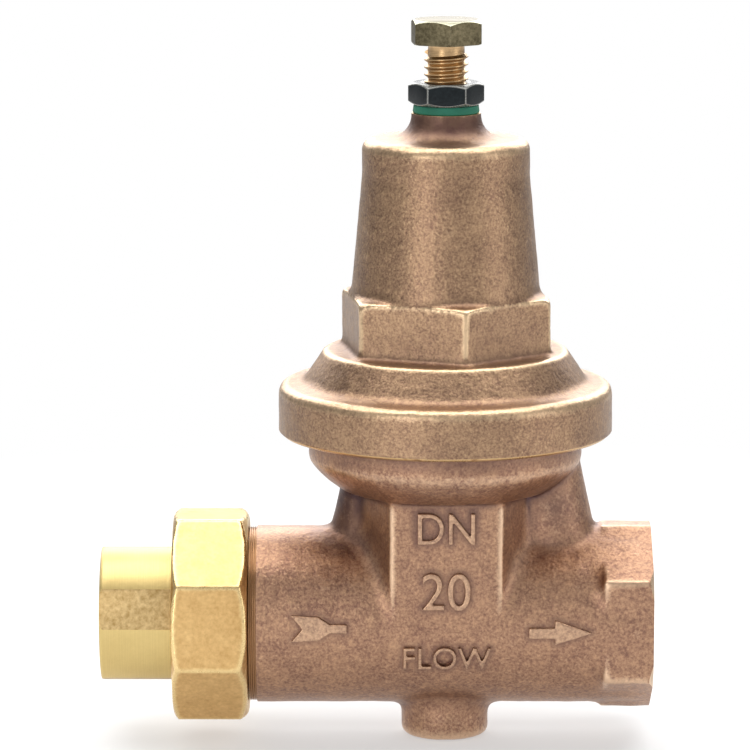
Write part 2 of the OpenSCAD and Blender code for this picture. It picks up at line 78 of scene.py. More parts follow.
Point = tuple[float, float]
Triple = tuple[float, float, float]


class Axis(Enum):
    """The line that a turned or threaded piece turns about."""

    X = (1.0, 0.0, 0.0)
    Z = (0.0, 0.0, 1.0)

    @property
    def vector(self) -> Vector:
        """The axis as a vector."""
        return Vector(self.value)

    def place(self, radius: float, along: float) -> Vector:
        """A point at a radius and a distance along the axis, both in millimetres."""
        return Vector((along, 0.0, radius)) * MM if self is Axis.X else Vector((radius, 0.0, along)) * MM


class Grain(Enum):
    """How a surface was made, which sets the pattern of its finish."""

    CAST = "cast"
    FORGED = "forged"
    TURNED_X = "turned about the flow line"
    TURNED_Z = "turned about the stem"
    MOULDED = "moulded"


# ---------------------------------------------------------------- mesh tools


def to_object(name: str, bm: bmesh.types.BMesh) -> bpy.types.Object:
    """Turns a bmesh into a linked object with merged doubles and outward normals.

    Args:
        name: The object's name.
        bm: The shape, which is freed.

    Returns:
        The new object, at the origin.
    """
    bmesh.ops.remove_doubles(bm, verts=bm.verts[:], dist=1e-7)
    bmesh.ops.recalc_face_normals(bm, faces=bm.faces[:])
    mesh = bpy.data.meshes.new(name)
    bm.to_mesh(mesh)
    bm.free()
    obj = bpy.data.objects.new(name, mesh)
    bpy.context.scene.collection.objects.link(obj)
    return obj


def discard(obj: bpy.types.Object) -> None:
    """Deletes an object and its mesh."""
    mesh = obj.data
    bpy.data.objects.remove(obj)
    bpy.data.meshes.remove(mesh)


def turned(name: str, profile: Sequence[Point], axis: Axis = Axis.Z, centre: Vector = Vector((0, 0, 0)),
           steps: int = 128) -> bpy.types.Object:
    """Spins a profile of (radius, distance along the axis) into a closed solid.

    Args:
        name: The object's name.
        profile: Points in millimetres. A profile that doesn't start and end on the axis is a closed loop.
        axis: The line it turns about.
        centre: A point on that line, in metres.
        steps: Segments round the full turn.

    Returns:
        The new object.
    """
    bm = bmesh.new()
    verts = [bm.verts.new(centre + axis.place(r, h)) for r, h in profile]
    pairs = list(zip(verts, verts[1:]))
    if profile[0][0] > 0 or profile[-1][0] > 0:
        pairs.append((verts[-1], verts[0]))
    edges = [bm.edges.new(pair) for pair in pairs]
    bmesh.ops.spin(bm, geom=verts + edges, cent=centre, axis=axis.vector, dvec=(0, 0, 0), angle=TAU,
                   steps=steps, use_merge=True, use_duplicate=False)
    return to_object(name, bm)


def disc_profile(radius: float, low: float, high: float) -> list[Point]:
    """The profile of a plain round bar."""
    return [(0, low), (radius, low), (radius, high), (0, high)]


def arc(cx: float, cy: float, radius: float, start: float, end: float, count: int = 8) -> list[Point]:
    """Points of a circular arc, with angles in degrees."""
    angles = [math.radians(start + (end - start) * i / count) for i in range(count + 1)]
    return [(cx + radius * math.cos(angle), cy + radius * math.sin(angle)) for angle in angles]


def polygon(radius: float, sides: int, turn: float = 0.0) -> list[Point]:
    """The corners of a regular polygon, turned by an angle in degrees."""
    return [(radius * math.cos(TAU * i / sides + math.radians(turn)),
             radius * math.sin(TAU * i / sides + math.radians(turn))) for i in range(sides)]


def corner_radius(across: float, sides: int = 6) -> float:
    """How far the corners of a regular polygon lie from its centre, from its width across the flats."""
    return across / 2 / math.cos(math.radians(180 / sides))


def extrude(bm: bmesh.types.BMesh, corners: Iterable[Sequence[float]], step: Vector) -> None:
    """Adds a prism to a bmesh: a face on its corners, drawn out by a step."""
    face = bm.faces.new([bm.verts.new(corner) for corner in corners])
    grown = bmesh.ops.extrude_face_region(bm, geom=[face])
    tops = [item for item in grown["geom"] if isinstance(item, bmesh.types.BMVert)]
    bmesh.ops.translate(bm, verts=tops, vec=step)


def prism(name: str, outline: Sequence[Point], direction: str, low: float, high: float,
          centre: Vector = Vector((0, 0, 0))) -> bpy.types.Object:
    """Extrudes an outline along X, Y or Z.

    Args:
        name: The object's name.
        outline: Corners in millimetres, as (y, z) for X, (x, z) for Y and (x, y) for Z.
        direction: X, Y or Z.
        low: Where the solid starts, in millimetres.
        high: Where it ends, in millimetres.
        centre: A shift of the whole solid, in metres.

    Returns:
        The new object.
    """
    lay = {"X": lambda u, v: (low, u, v), "Y": lambda u, v: (u, low, v), "Z": lambda u, v: (u, v, low)}
    step = {"X": (1, 0, 0), "Y": (0, 1, 0), "Z": (0, 0, 1)}
    bm = bmesh.new()
    corners = [centre + Vector(lay[direction](u, v)) * MM for u, v in outline]
    extrude(bm, corners, Vector(step[direction]) * (high - low) * MM)
    return to_object(name, bm)


def leaning_bar(name: str, radius: float, foot: Vector, lean: float, length: float) -> bpy.types.Object:
    """A round bar that stands on a foot and leans towards +X by an angle in degrees."""
    bm = bmesh.new()
    place = (Matrix.Translation(foot) @ Matrix.Rotation(math.radians(lean), 4, "Y")
             @ Matrix.Translation((0, 0, length * MM / 2)))
    bmesh.ops.create_cone(bm, cap_ends=True, segments=96, radius1=radius * MM, radius2=radius * MM,
                          depth=length * MM, matrix=place)
    return to_object(name, bm)


def helix(name: str, axis: Axis, centre: Vector, root: float, crest: float, pitch: float, low: float,
          turns: float, steps: int = 64) -> bpy.types.Object:
    """One continuous thread ridge as a closed solid.

    Args:
        name: The object's name.
        axis: The thread's axis.
        centre: A point on the axis, in metres.
        root: Radius of the ridge's foot in millimetres. It is the larger one in an internal thread.
        crest: Radius of the ridge's top in millimetres.
        pitch: Advance in one turn, in millimetres.
        low: Where the ridge starts along the axis, in millimetres.
        turns: How many turns it makes.
        steps: Segments in one turn.

    Returns:
        The new object.
    """
    bm = bmesh.new()
    foot, flat = 0.93 * pitch, 0.14 * pitch
    corners = [(root, low), (crest, low + (foot - flat) / 2), (crest, low + (foot + flat) / 2),
               (root, low + foot)]
    verts = [bm.verts.new(centre + axis.place(r, h)) for r, h in corners]
    edges = [bm.edges.new((verts[i], verts[(i + 1) % 4])) for i in range(4)]
    bmesh.ops.spin(bm, geom=verts + edges, cent=centre, axis=axis.vector, angle=TAU * turns,
                   dvec=axis.vector * pitch * MM / steps, steps=round(steps * turns), use_merge=False,
                   use_duplicate=False)
    bmesh.ops.holes_fill(bm, edges=[e for e in bm.edges if e.is_boundary], sides=0)
    return to_object(name, bm)


def settle(obj: bpy.types.Object) -> bpy.types.Object:
    """Applies an object's modifiers to its mesh."""
    graph = bpy.context.evaluated_depsgraph_get()
    mesh = bpy.data.meshes.new_from_object(obj.evaluated_get(graph))
    old = obj.data
    obj.modifiers.clear()
    obj.data = mesh
    bpy.data.meshes.remove(old)
    return obj


def combine(base: bpy.types.Object, others: Iterable[bpy.types.Object], operation: str) -> bpy.types.Object:
    """Joins, cuts or trims a solid with others, which are used up.

    Args:
        base: The solid that is kept.
        others: The solids that act on it. Their materials pass to the faces they leave.
        operation: UNION, DIFFERENCE or INTERSECT.

    Returns:
        The kept solid.
    """
    for other in others:
        step = base.modifiers.new("solid", "BOOLEAN")
        step.solver, step.material_mode = "MANIFOLD", "TRANSFER"
        step.operation, step.object = operation, other
        settle(base)
        discard(other)
    return base


def fuse_cast(obj: bpy.types.Object, voxel: float, rounds: int) -> bpy.types.Object:
    """Gives a joined solid the rounded edges and fillets of a casting.

    Args:
        obj: The solid.
        voxel: Size of its new facets, in millimetres.
        rounds: How many times its surface is relaxed.

    Returns:
        The same object.
    """
    grid = obj.modifiers.new("grid", "REMESH")
    grid.mode, grid.voxel_size, grid.adaptivity = "VOXEL", voxel * MM, 0.0
    relax = obj.modifiers.new("relax", "SMOOTH")
    relax.factor, relax.iterations = 0.5, rounds
    return settle(obj)


def ripple(obj: bpy.types.Object, amount: float, size: float, seed: float) -> None:
    """Moves a surface in and out a little, as a sand mould leaves it.

    Args:
        obj: The solid.
        amount: The largest move, in millimetres.
        size: Width of one ripple, in millimetres.
        seed: A shift of the pattern, so that pieces differ.
    """
    bm = bmesh.new()
    bm.from_mesh(obj.data)
    bm.normal_update()
    shift = Vector((seed, seed * 2, seed * 3))
    for vert in bm.verts:
        vert.co += vert.normal * noise.noise(vert.co / (size * MM) + shift) * amount * MM
    bm.to_mesh(obj.data)
    bm.free()


def neighbours(mesh: bpy.types.Mesh) -> tuple[np.ndarray, np.ndarray, np.ndarray, np.ndarray]:
    """Reads a mesh into arrays.

    Args:
        mesh: The mesh.

    Returns:
        Places of its vertices, their normals, and the two ends of every edge taken in both directions.
    """
    count = len(mesh.vertices)
    co, normal, ends = np.empty(count * 3), np.empty(count * 3), np.empty(len(mesh.edges) * 2, int)
    mesh.vertices.foreach_get("co", co)
    mesh.vertices.foreach_get("normal", normal)
    mesh.edges.foreach_get("vertices", ends)
    a, b = ends.reshape(-1, 2).T
    return co.reshape(-1, 3), normal.reshape(-1, 3), np.concatenate((a, b)), np.concatenate((b, a))


def mean_of_neighbours(values: np.ndarray, here: np.ndarray, there: np.ndarray) -> np.ndarray:
    """The mean of the values at each vertex's neighbours."""
    share = np.maximum(np.bincount(here, minlength=len(values)), 1)
    if values.ndim == 1:
        return np.bincount(here, values[there], len(values)) / share
    return np.stack([np.bincount(here, column[there], len(values)) / share for column in values.T], 1)


def fill_hollows(obj: bpy.types.Object, rounds: int, low_z: float = -1.0, high_z: float = 1.0) -> None:
    """Grows the soft fillets that a foundry leaves in inner corners, and leaves outer edges alone.

    Args:
        obj: A solid with small, even facets.
        rounds: How far the fillets grow.
        low_z: The lowest height in metres that is changed.
        high_z: The highest height in metres that is changed.
    """
    mesh = obj.data
    co, normal, here, there = neighbours(mesh)
    live = ((co[:, 2] > low_z) & (co[:, 2] < high_z)).astype(float)
    for step in range(rounds):
        pull = mean_of_neighbours(co, here, there) - co
        out = (pull * normal).sum(1)
        share = live * np.clip(out / (0.012 * MM) - 0.25, 0, 1)
        share = np.maximum(share, 0.9 * mean_of_neighbours(share, here, there) * (out > -0.004 * MM))
        co = co + 0.75 * (share * np.maximum(out, 0))[:, None] * normal + 0.12 * share[:, None] * (
            pull - out[:, None] * normal)
        if step % 6 == 5:
            mesh.vertices.foreach_set("co", co.ravel())
            mesh.update()
            mesh.vertices.foreach_get("normal", flat := np.empty(len(co) * 3))
            normal = flat.reshape(-1, 3)
    mesh.vertices.foreach_set("co", co.ravel())
    mesh.update()


def store(mesh: bpy.types.Mesh, name: str, values: np.ndarray) -> None:
    """Stores one number for each vertex under a name that a finish reads."""
    layer = mesh.attributes.get(name) or mesh.attributes.new(name, "FLOAT", "POINT")
    layer.data.foreach_set("value", values.astype(np.float32))


def edge_wear_and_highlight(obj: bpy.types.Object, rounds: int = 3, gain: float = 1.8) -> None:
    """Stores how sharply the surface bends as the attribute "bend": above 0 on edges, below 0 in hollows.
    Finishes lighten edges by it, as rubbing and as a painted highlight, and darken hollows by it as painted
    shade.

    Args:
        obj: A solid with small, even facets.
        rounds: How far the value spreads to its neighbours.
        gain: How strongly it answers to the bend, in millimetres.
    """
    co, normal, here, there = neighbours(obj.data)
    span = co[there] - co[here]
    bent = -(span * normal[here]).sum(1) / np.maximum((span ** 2).sum(1), 1e-12)
    bend = np.bincount(here, bent, len(co)) / np.maximum(np.bincount(here, minlength=len(co)), 1) * 2 * MM
    for _ in range(rounds):
        bend = (bend + mean_of_neighbours(bend, here, there)) / 2
    store(obj.data, "bend", np.clip(gain * bend, -1, 1))


def painted_shade(obj: bpy.types.Object, others: Sequence[bpy.types.Object] = (), reach: float = 13.0,
            voxel: float = 1.7) -> None:
    """Stores how far each spot lies inside a recess as the attribute "shelter", from 0 in the open to 1;
    finishes darken by it as painted shade.

    Args:
        obj: A solid with small, even facets.
        others: Pieces round it that also shade it.
        reach: How far away a shading surface may be, in millimetres.
        voxel: Spacing of the measured spots, in millimetres.
    """
    coarse = bpy.data.objects.new("coarse", obj.data.copy())
    bpy.context.scene.collection.objects.link(coarse)
    fuse_cast(coarse, voxel, 0)
    meshes = [piece.data for piece in (coarse, *others)]
    trees = [BVHTree.FromPolygons([v.co for v in mesh.vertices], [p.vertices for p in mesh.polygons])
             for mesh in meshes]
    golden = math.pi * (3 - math.sqrt(5))
    heights = 1 - (2 * np.arange(40) + 1) / 40
    turns = [(math.sqrt(1 - z * z), golden * i, z) for i, z in enumerate(heights)]
    rays = [Vector((r * math.cos(angle), r * math.sin(angle), z)) for r, angle, z in turns]
    spots = KDTree(len(coarse.data.vertices))
    depth = []
    for vert in coarse.data.vertices:
        seen = [ray for ray in rays if ray.dot(vert.normal) > 0.15]
        start = vert.co + vert.normal * 0.9 * MM
        blocked = sum(1 for ray in seen if any(tree.ray_cast(start, ray, reach * MM)[0] for tree in trees))
        depth.append(blocked / max(len(seen), 1))
        spots.insert(vert.co, vert.index)
    spots.balance()
    found = np.empty(len(obj.data.vertices))
    for vert in obj.data.vertices:
        near = spots.find_n(vert.co, 3)
        found[vert.index] = sum(depth[i] for _, i, _ in near) / len(near)
    _, _, here, there = neighbours(obj.data)
    for _ in range(6):
        found = (found + mean_of_neighbours(found, here, there)) / 2
    store(obj.data, "painted_shade", found)
    discard(coarse)


def add_painted_shade(obj: bpy.types.Object, share: np.ndarray) -> None:
    """Adds painted shade, a share for each vertex, to the attribute "shelter"."""
    values = np.empty(len(share), np.float32)
    obj.data.attributes["painted_shade"].data.foreach_get("value", values)
    store(obj.data, "painted_shade", values + share)


def paint_shade_round(obj: bpy.types.Object, spot: Vector, radius: float, amount: float) -> None:
    """Adds painted shade round a spot, up to a radius in millimetres. A negative amount lightens it."""
    gap = np.linalg.norm(neighbours(obj.data)[0] - np.array(spot), axis=1)
    add_painted_shade(obj, amount * np.clip(1 - gap / (radius * MM), 0, 1) ** 0.7)


def paint_shade_above(obj: bpy.types.Object, height: float, amount: float) -> None:
    """Adds painted shade above a height in metres, over two millimetres."""
    add_painted_shade(obj, amount * np.clip((neighbours(obj.data)[0][:, 2] - height) / (2 * MM), 0, 1))


def paint_shadow_round_marks(obj: bpy.types.Object, marks: bpy.types.Object) -> None:
    """Adds a painted shadow to the attribute "shelter" close round raised marks."""
    reach, amount = 1.3 * MM, 0.35
    tree = KDTree(len(marks.data.vertices))
    for vert in marks.data.vertices:
        tree.insert(vert.co, vert.index)
    tree.balance()
    low = [min(v.co[i] for v in marks.data.vertices) - reach for i in range(3)]
    high = [max(v.co[i] for v in marks.data.vertices) + reach for i in range(3)]
    layer = obj.data.attributes["painted_shade"]
    for vert in obj.data.vertices:
        if all(low[i] < vert.co[i] < high[i] for i in range(3)):
            gap = tree.find(vert.co)[2]
            layer.data[vert.index].value += amount * max(0.0, 1 - max(0.0, gap - 0.5 * MM) / reach)


def edge_faces(obj: bpy.types.Object, area: float) -> None:
    """Marks the narrow faces of a bevelled piece, up to an area in square millimetres, as rubbed edges that
    the finish lightens, also as a painted highlight.
    """
    mesh = obj.data
    layer = mesh.attributes.new("bend", "FLOAT", "FACE")
    for face in mesh.polygons:
        layer.data[face.index].value = 0.7 if face.area < area * MM * MM else 0.0


def shade(obj: bpy.types.Object, angle: float = 35) -> None:
    """Smooth shading with edges sharper than an angle in degrees kept crisp."""
    bm = bmesh.new()
    bm.from_mesh(obj.data)
    for face in bm.faces:
        face.smooth = True
    for edge in bm.edges:
        edge.smooth = len(edge.link_faces) != 2 or edge.calc_face_angle(0) < math.radians(angle)
    bm.to_mesh(obj.data)
    bm.free()


def bevelled(obj: bpy.types.Object, width: float, segments: int = 3, angle: float = 30) -> bpy.types.Object:
    """Rounds a solid's edges by a width in millimetres."""
    step = obj.modifiers.new("edges", "BEVEL")
    step.width, step.segments = width * MM, segments
    step.limit_method, step.angle_limit = "ANGLE", math.radians(angle)
    step.harden_normals = False
    return settle(obj)


def deliver(obj: bpy.types.Object, body: str, nodes: Sequence[str] = ()) -> None:
    """Hands a finished piece over: its body and the CAD nodes it stands for."""
    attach(obj, body)
    if nodes:
        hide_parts(*nodes)
    LOG.info("%s rides on %s: %d faces", obj.name, body, len(obj.data.polygons))


# ---------------------------------------------------------------- finishes


class Value:
    """A shader socket that takes part in Python arithmetic."""

    def __init__(self, graph: "Graph", socket: bpy.types.NodeSocket) -> None:
        """Wraps an output socket of a graph."""
        self.graph, self.socket = graph, socket

    def _sum(self, operation: str, *values: Any) -> "Value":
        """A Math node on values in order."""
        return self.graph.node("ShaderNodeMath", {"operation": operation}, dict(enumerate(values)))

    def __add__(self, other: Any) -> "Value":
        """self + other."""
        return self._sum("ADD", self, other)

    def __radd__(self, other: Any) -> "Value":
        """other + self."""
        return self._sum("ADD", other, self)

    def __sub__(self, other: Any) -> "Value":
        """self - other."""
        return self._sum("SUBTRACT", self, other)

    def __rsub__(self, other: Any) -> "Value":
        """other - self."""
        return self._sum("SUBTRACT", other, self)

    def __mul__(self, other: Any) -> "Value":
        """self * other."""
        return self._sum("MULTIPLY", self, other)

    def __rmul__(self, other: Any) -> "Value":
        """other * self."""
        return self._sum("MULTIPLY", other, self)

    def __pow__(self, other: Any) -> "Value":
        """self to a power."""
        return self._sum("POWER", self, other)

    def span(self, low: float, high: float) -> "Value":
        """Runs from 0 at low to 1 at high, and stays there."""
        return self.graph.node("ShaderNodeMapRange", {"clamp": True},
                               {0: self, 1: low, 2: high, 3: 0.0, 4: 1.0})


class Graph:
    """The nodes of one material or world."""

    def __init__(self, owner: Any) -> None:
        """Starts an empty node tree on a material or a world."""
        owner.use_nodes = True
        self.tree = owner.node_tree
        self.tree.nodes.clear()

    def node(self, kind: str, settings: dict[str, Any] | None = None, sockets: dict[Any, Any] | None = None,
             out: Any = 0) -> Value:
        """Adds a node.

        Args:
            kind: The node's type.
            settings: Its own settings, set first.
            sockets: Values or links of its inputs, by name or number.
            out: The output that is handed back, by name or number.

        Returns:
            The output as a Value, or None for a node with no output.
        """
        made = self.tree.nodes.new(kind)
        for key, value in (settings or {}).items():
            setattr(made, key, value)
        for key, value in (sockets or {}).items():
            if isinstance(value, Value):
                self.tree.links.new(value.socket, made.inputs[key])
            else:
                made.inputs[key].default_value = value
        return Value(self, made.outputs[out]) if made.outputs else None

    def axes(self, where: Value) -> list[Value]:
        """The X, Y and Z of a place."""
        split = self.node("ShaderNodeSeparateXYZ", sockets={0: where}).socket.node
        return [Value(self, socket) for socket in split.outputs]

    def blend(self, low: Any, high: Any, share: Any) -> Value:
        """Mixes two colours by a share from 0 to 1."""
        sides = [(*side, 1.0) if isinstance(side, tuple) else side for side in (low, high)]
        return self.node("ShaderNodeMix", {"data_type": "RGBA"}, {0: share, 6: sides[0], 7: sides[1]}, 2)


@dataclass(frozen=True)
class Finish:
    """A metal, plastic or rubber surface with its grain, rubbed edges that also carry a painted highlight,
    painted shade in recesses, and colour variation.
    """

    name: str
    dark: Triple
    light: Triple
    grain: Grain
    roughness: float
    # edge: colour of rubbed edges, also a painted highlight. recess: colour of painted shade in recesses and
    # creases.
    edge: Triple = (0.9, 0.7, 0.5)
    recess: Triple = (0.3, 0.2, 0.1)
    metallic: float = 1.0
    speckle: float = 1.4
    bump: float = 0.3
    # How strongly edges are lightened, as rubbing and as a painted highlight.
    wear_and_highlight: float = 0.8
    dust: float = 0.0
    contrast: float = 2.6

    def material(self) -> bpy.types.Material:
        """The finish as a material, made once and shared by its pieces."""
        found = bpy.data.materials.get(self.name)
        return found or self._build(bpy.data.materials.new(self.name))

    def _coordinates(self, graph: Graph) -> Value:
        """Object coordinates in millimetres from the stem's axis."""
        raw = graph.node("ShaderNodeTexCoord", out="Object")
        scale = 1 / MM
        return graph.node("ShaderNodeMapping", sockets={0: raw, 1: (-STEM_X * scale, 0, 0), 3: (scale,) * 3})

    def _noise(self, graph: Graph, where: Value, scale: float, detail: float, rough: float) -> Value:
        """A cloud pattern with a scale in features per millimetre."""
        return graph.node("ShaderNodeTexNoise", {"noise_dimensions": "3D"},
                          {"Vector": where, "Scale": scale, "Detail": detail, "Roughness": rough})

    def _tool_marks(self, graph: Graph, where: Value) -> Value:
        """Fine rings left by a cutting tool, on the sides and the faces of a turned piece."""
        x, y, z = graph.axes(where)
        along, across = (x, z) if self.grain is Grain.TURNED_X else (z, x)
        radius = (across ** 2 + y ** 2) ** 0.5
        return graph.node("ShaderNodeTexNoise", {"noise_dimensions": "1D"},
                          {"W": along + radius, "Scale": 5.5, "Detail": 2.5, "Roughness": 0.6})

    def _build(self, material: bpy.types.Material) -> bpy.types.Material:
        """Builds the node tree.

        Args:
            material: The empty material.

        Returns:
            The same material.
        """
        graph = Graph(material)
        where = self._coordinates(graph)
        fine = self._noise(graph, where, self.speckle, 4, 0.65)
        patch = self._noise(graph, where, 0.11, 3, 0.55)
        turned_metal = self.grain in (Grain.TURNED_X, Grain.TURNED_Z)
        worked = self.grain in (Grain.CAST, Grain.FORGED)
        if turned_metal:
            rings = self._tool_marks(graph, where)
            height = rings * 1.2 + fine * 0.15
            tone = (rings - 0.5) * 0.9 + (fine - 0.5) * 0.5 + (patch - 0.5) * 0.8 + 0.5
        else:
            height = fine
            tone = (fine - 0.5) * self.contrast + (patch - 0.5) * 0.8 + 0.5
        rough = (fine - 0.5) * 0.22 + (patch - 0.5) * 0.12 + self.roughness
        if worked:
            coarse = self._noise(graph, where, self.speckle * 0.32, 3, 0.6)
            height = fine * 0.55 + coarse * 0.9
            tone = tone + (coarse - 0.5) * 0.8
        colour = graph.blend(self.dark, self.light, tone.span(0.0, 1.0))
        if worked:
            # Painted shade: spots in recesses and creases darken towards the recess colour. Edges lighten
            # towards the edge colour, as rubbing and as a painted highlight.
            bend = graph.node("ShaderNodeAttribute", {"attribute_name": "bend"}, out="Fac")
            painted_shade_level = graph.node("ShaderNodeAttribute", {"attribute_name": "painted_shade"}, out="Fac")
            worn_and_highlit = (bend + (fine - 0.5) * 0.5).span(0.10, 0.60)
            painted_shade_share = (painted_shade_level * 1.15 - bend * 0.6 + (fine - 0.5) * 0.35).span(0.12, 0.9)
            colour = graph.blend(colour, self.recess, painted_shade_share)
            colour = graph.blend(colour, self.edge, worn_and_highlit * self.wear_and_highlight)
            rough = rough - worn_and_highlit * 0.1 + painted_shade_share * 0.12
        normal = graph.node("ShaderNodeBump",
                            sockets={"Strength": self.bump, "Distance": 0.00022, "Height": height})
        shader = graph.node("ShaderNodeBsdfPrincipled", sockets={
            "Base Color": colour, "Metallic": self.metallic, "Roughness": rough, "Normal": normal,
            "Coat Weight": self.dust, "Coat Roughness": 0.45})
        graph.node("ShaderNodeOutputMaterial", sockets={"Surface": shader})
        return material


# Edge colours lighten rubbed edges and also paint a highlight on them; recess colours are painted shade.
BODY_BRONZE = Finish("body_bronze", (0.225, 0.112, 0.078), (0.54, 0.32, 0.19), Grain.CAST, 0.43,
                     edge=(0.78, 0.54, 0.36), recess=(0.095, 0.050, 0.053), speckle=1.6, bump=0.7, dust=0.4)
BELL_BRONZE = Finish("bell_bronze", (0.20, 0.113, 0.076), (0.48, 0.31, 0.182), Grain.CAST, 0.40,
                     edge=(0.80, 0.58, 0.36), recess=(0.12, 0.062, 0.05), speckle=1.8, bump=0.65, dust=0.18)
SPIGOT_BRONZE = Finish("spigot_bronze", (0.26, 0.13, 0.06), (0.50, 0.29, 0.15), Grain.TURNED_X, 0.34)
CUT_BRONZE_X = Finish("cut_bronze_x", (0.50, 0.33, 0.20), (0.76, 0.55, 0.36), Grain.TURNED_X, 0.30)
CUT_BRONZE_Z = Finish("cut_bronze_z", (0.58, 0.37, 0.17), (0.82, 0.58, 0.30), Grain.TURNED_Z, 0.30)
NUT_BRASS = Finish("nut_brass", (0.54, 0.32, 0.12), (0.80, 0.54, 0.24), Grain.FORGED, 0.38,
                   edge=(0.92, 0.72, 0.36), recess=(0.30, 0.17, 0.06), speckle=1.1, bump=0.25, wear_and_highlight=0.6,
                   contrast=1.5)
TAIL_BRASS = Finish("tail_brass", (0.57, 0.415, 0.165), (0.77, 0.60, 0.265), Grain.TURNED_X, 0.43, bump=0.25)
FLAT_BRASS = Finish("flat_brass", (0.36, 0.235, 0.09), (0.66, 0.48, 0.24), Grain.FORGED, 0.46,
                    edge=(0.95, 0.8, 0.5), speckle=0.9, bump=0.4)
# The screw head's and the lock nut's edge colours light their bevel faces, as rubbing and as a painted
# highlight.
ZINC_HEAD = Finish("zinc_head", (0.075, 0.062, 0.036), (0.19, 0.16, 0.095), Grain.FORGED, 0.40,
                   edge=(0.55, 0.53, 0.38), recess=(0.1, 0.07, 0.03), speckle=1.3, bump=0.15)
ZINC_THREAD = Finish("zinc_thread", (0.34, 0.21, 0.10), (0.74, 0.51, 0.28), Grain.TURNED_Z, 0.34, bump=0.15)
BLACK_OXIDE = Finish("black_oxide", (0.003, 0.006, 0.008), (0.010, 0.016, 0.019), Grain.FORGED, 0.36,
                     edge=(0.30, 0.30, 0.28), recess=(0.01, 0.01, 0.01), metallic=0.55, speckle=1.6,
                     bump=0.15)
GREEN_NYLON = Finish("green_nylon", (0.001, 0.07, 0.042), (0.003, 0.108, 0.068), Grain.MOULDED, 0.5,
                     metallic=0.0, bump=0.1)
RUBBER = Finish("black_rubber", (0.012, 0.012, 0.012), (0.03, 0.03, 0.03), Grain.MOULDED, 0.62, metallic=0.0,
                speckle=2.5)
GASKET = Finish("fibre_gasket", (0.03, 0.028, 0.025), (0.09, 0.085, 0.075), Grain.MOULDED, 0.75, metallic=0.0,
                speckle=3.5, bump=0.5)
STAINLESS = Finish("stainless", (0.45, 0.45, 0.44), (0.66, 0.66, 0.65), Grain.TURNED_Z, 0.30, bump=0.25)
ZINC_PLATE = Finish("zinc_plate", (0.36, 0.37, 0.38), (0.58, 0.59, 0.60), Grain.TURNED_Z, 0.38, bump=0.2)
SPRING_WIRE = Finish("spring_wire", (0.10, 0.10, 0.11), (0.22, 0.22, 0.23), Grain.MOULDED, 0.40, speckle=1.0,
                     bump=0.15)
WORKS_BRASS = Finish("works_brass", (0.52, 0.37, 0.15), (0.78, 0.58, 0.28), Grain.TURNED_Z, 0.30, bump=0.25)
ACETAL = Finish("acetal", (0.66, 0.64, 0.56), (0.78, 0.76, 0.69), Grain.TURNED_Z, 0.45, metallic=0.0,
                bump=0.12)


def dress(obj: bpy.types.Object, *finishes: Finish) -> bpy.types.Object:
    """Puts one or more finishes on an object's material slots, in order."""
    obj.data.materials.clear()
    for finish in finishes:
        obj.data.materials.append(finish.material())
    return obj


def stem_line() -> Vector:
    """The foot of the stem's axis on the flow line, in metres."""
    return Vector((STEM_X, 0, 0))


# ---------------------------------------------------------------- sub-assemblies


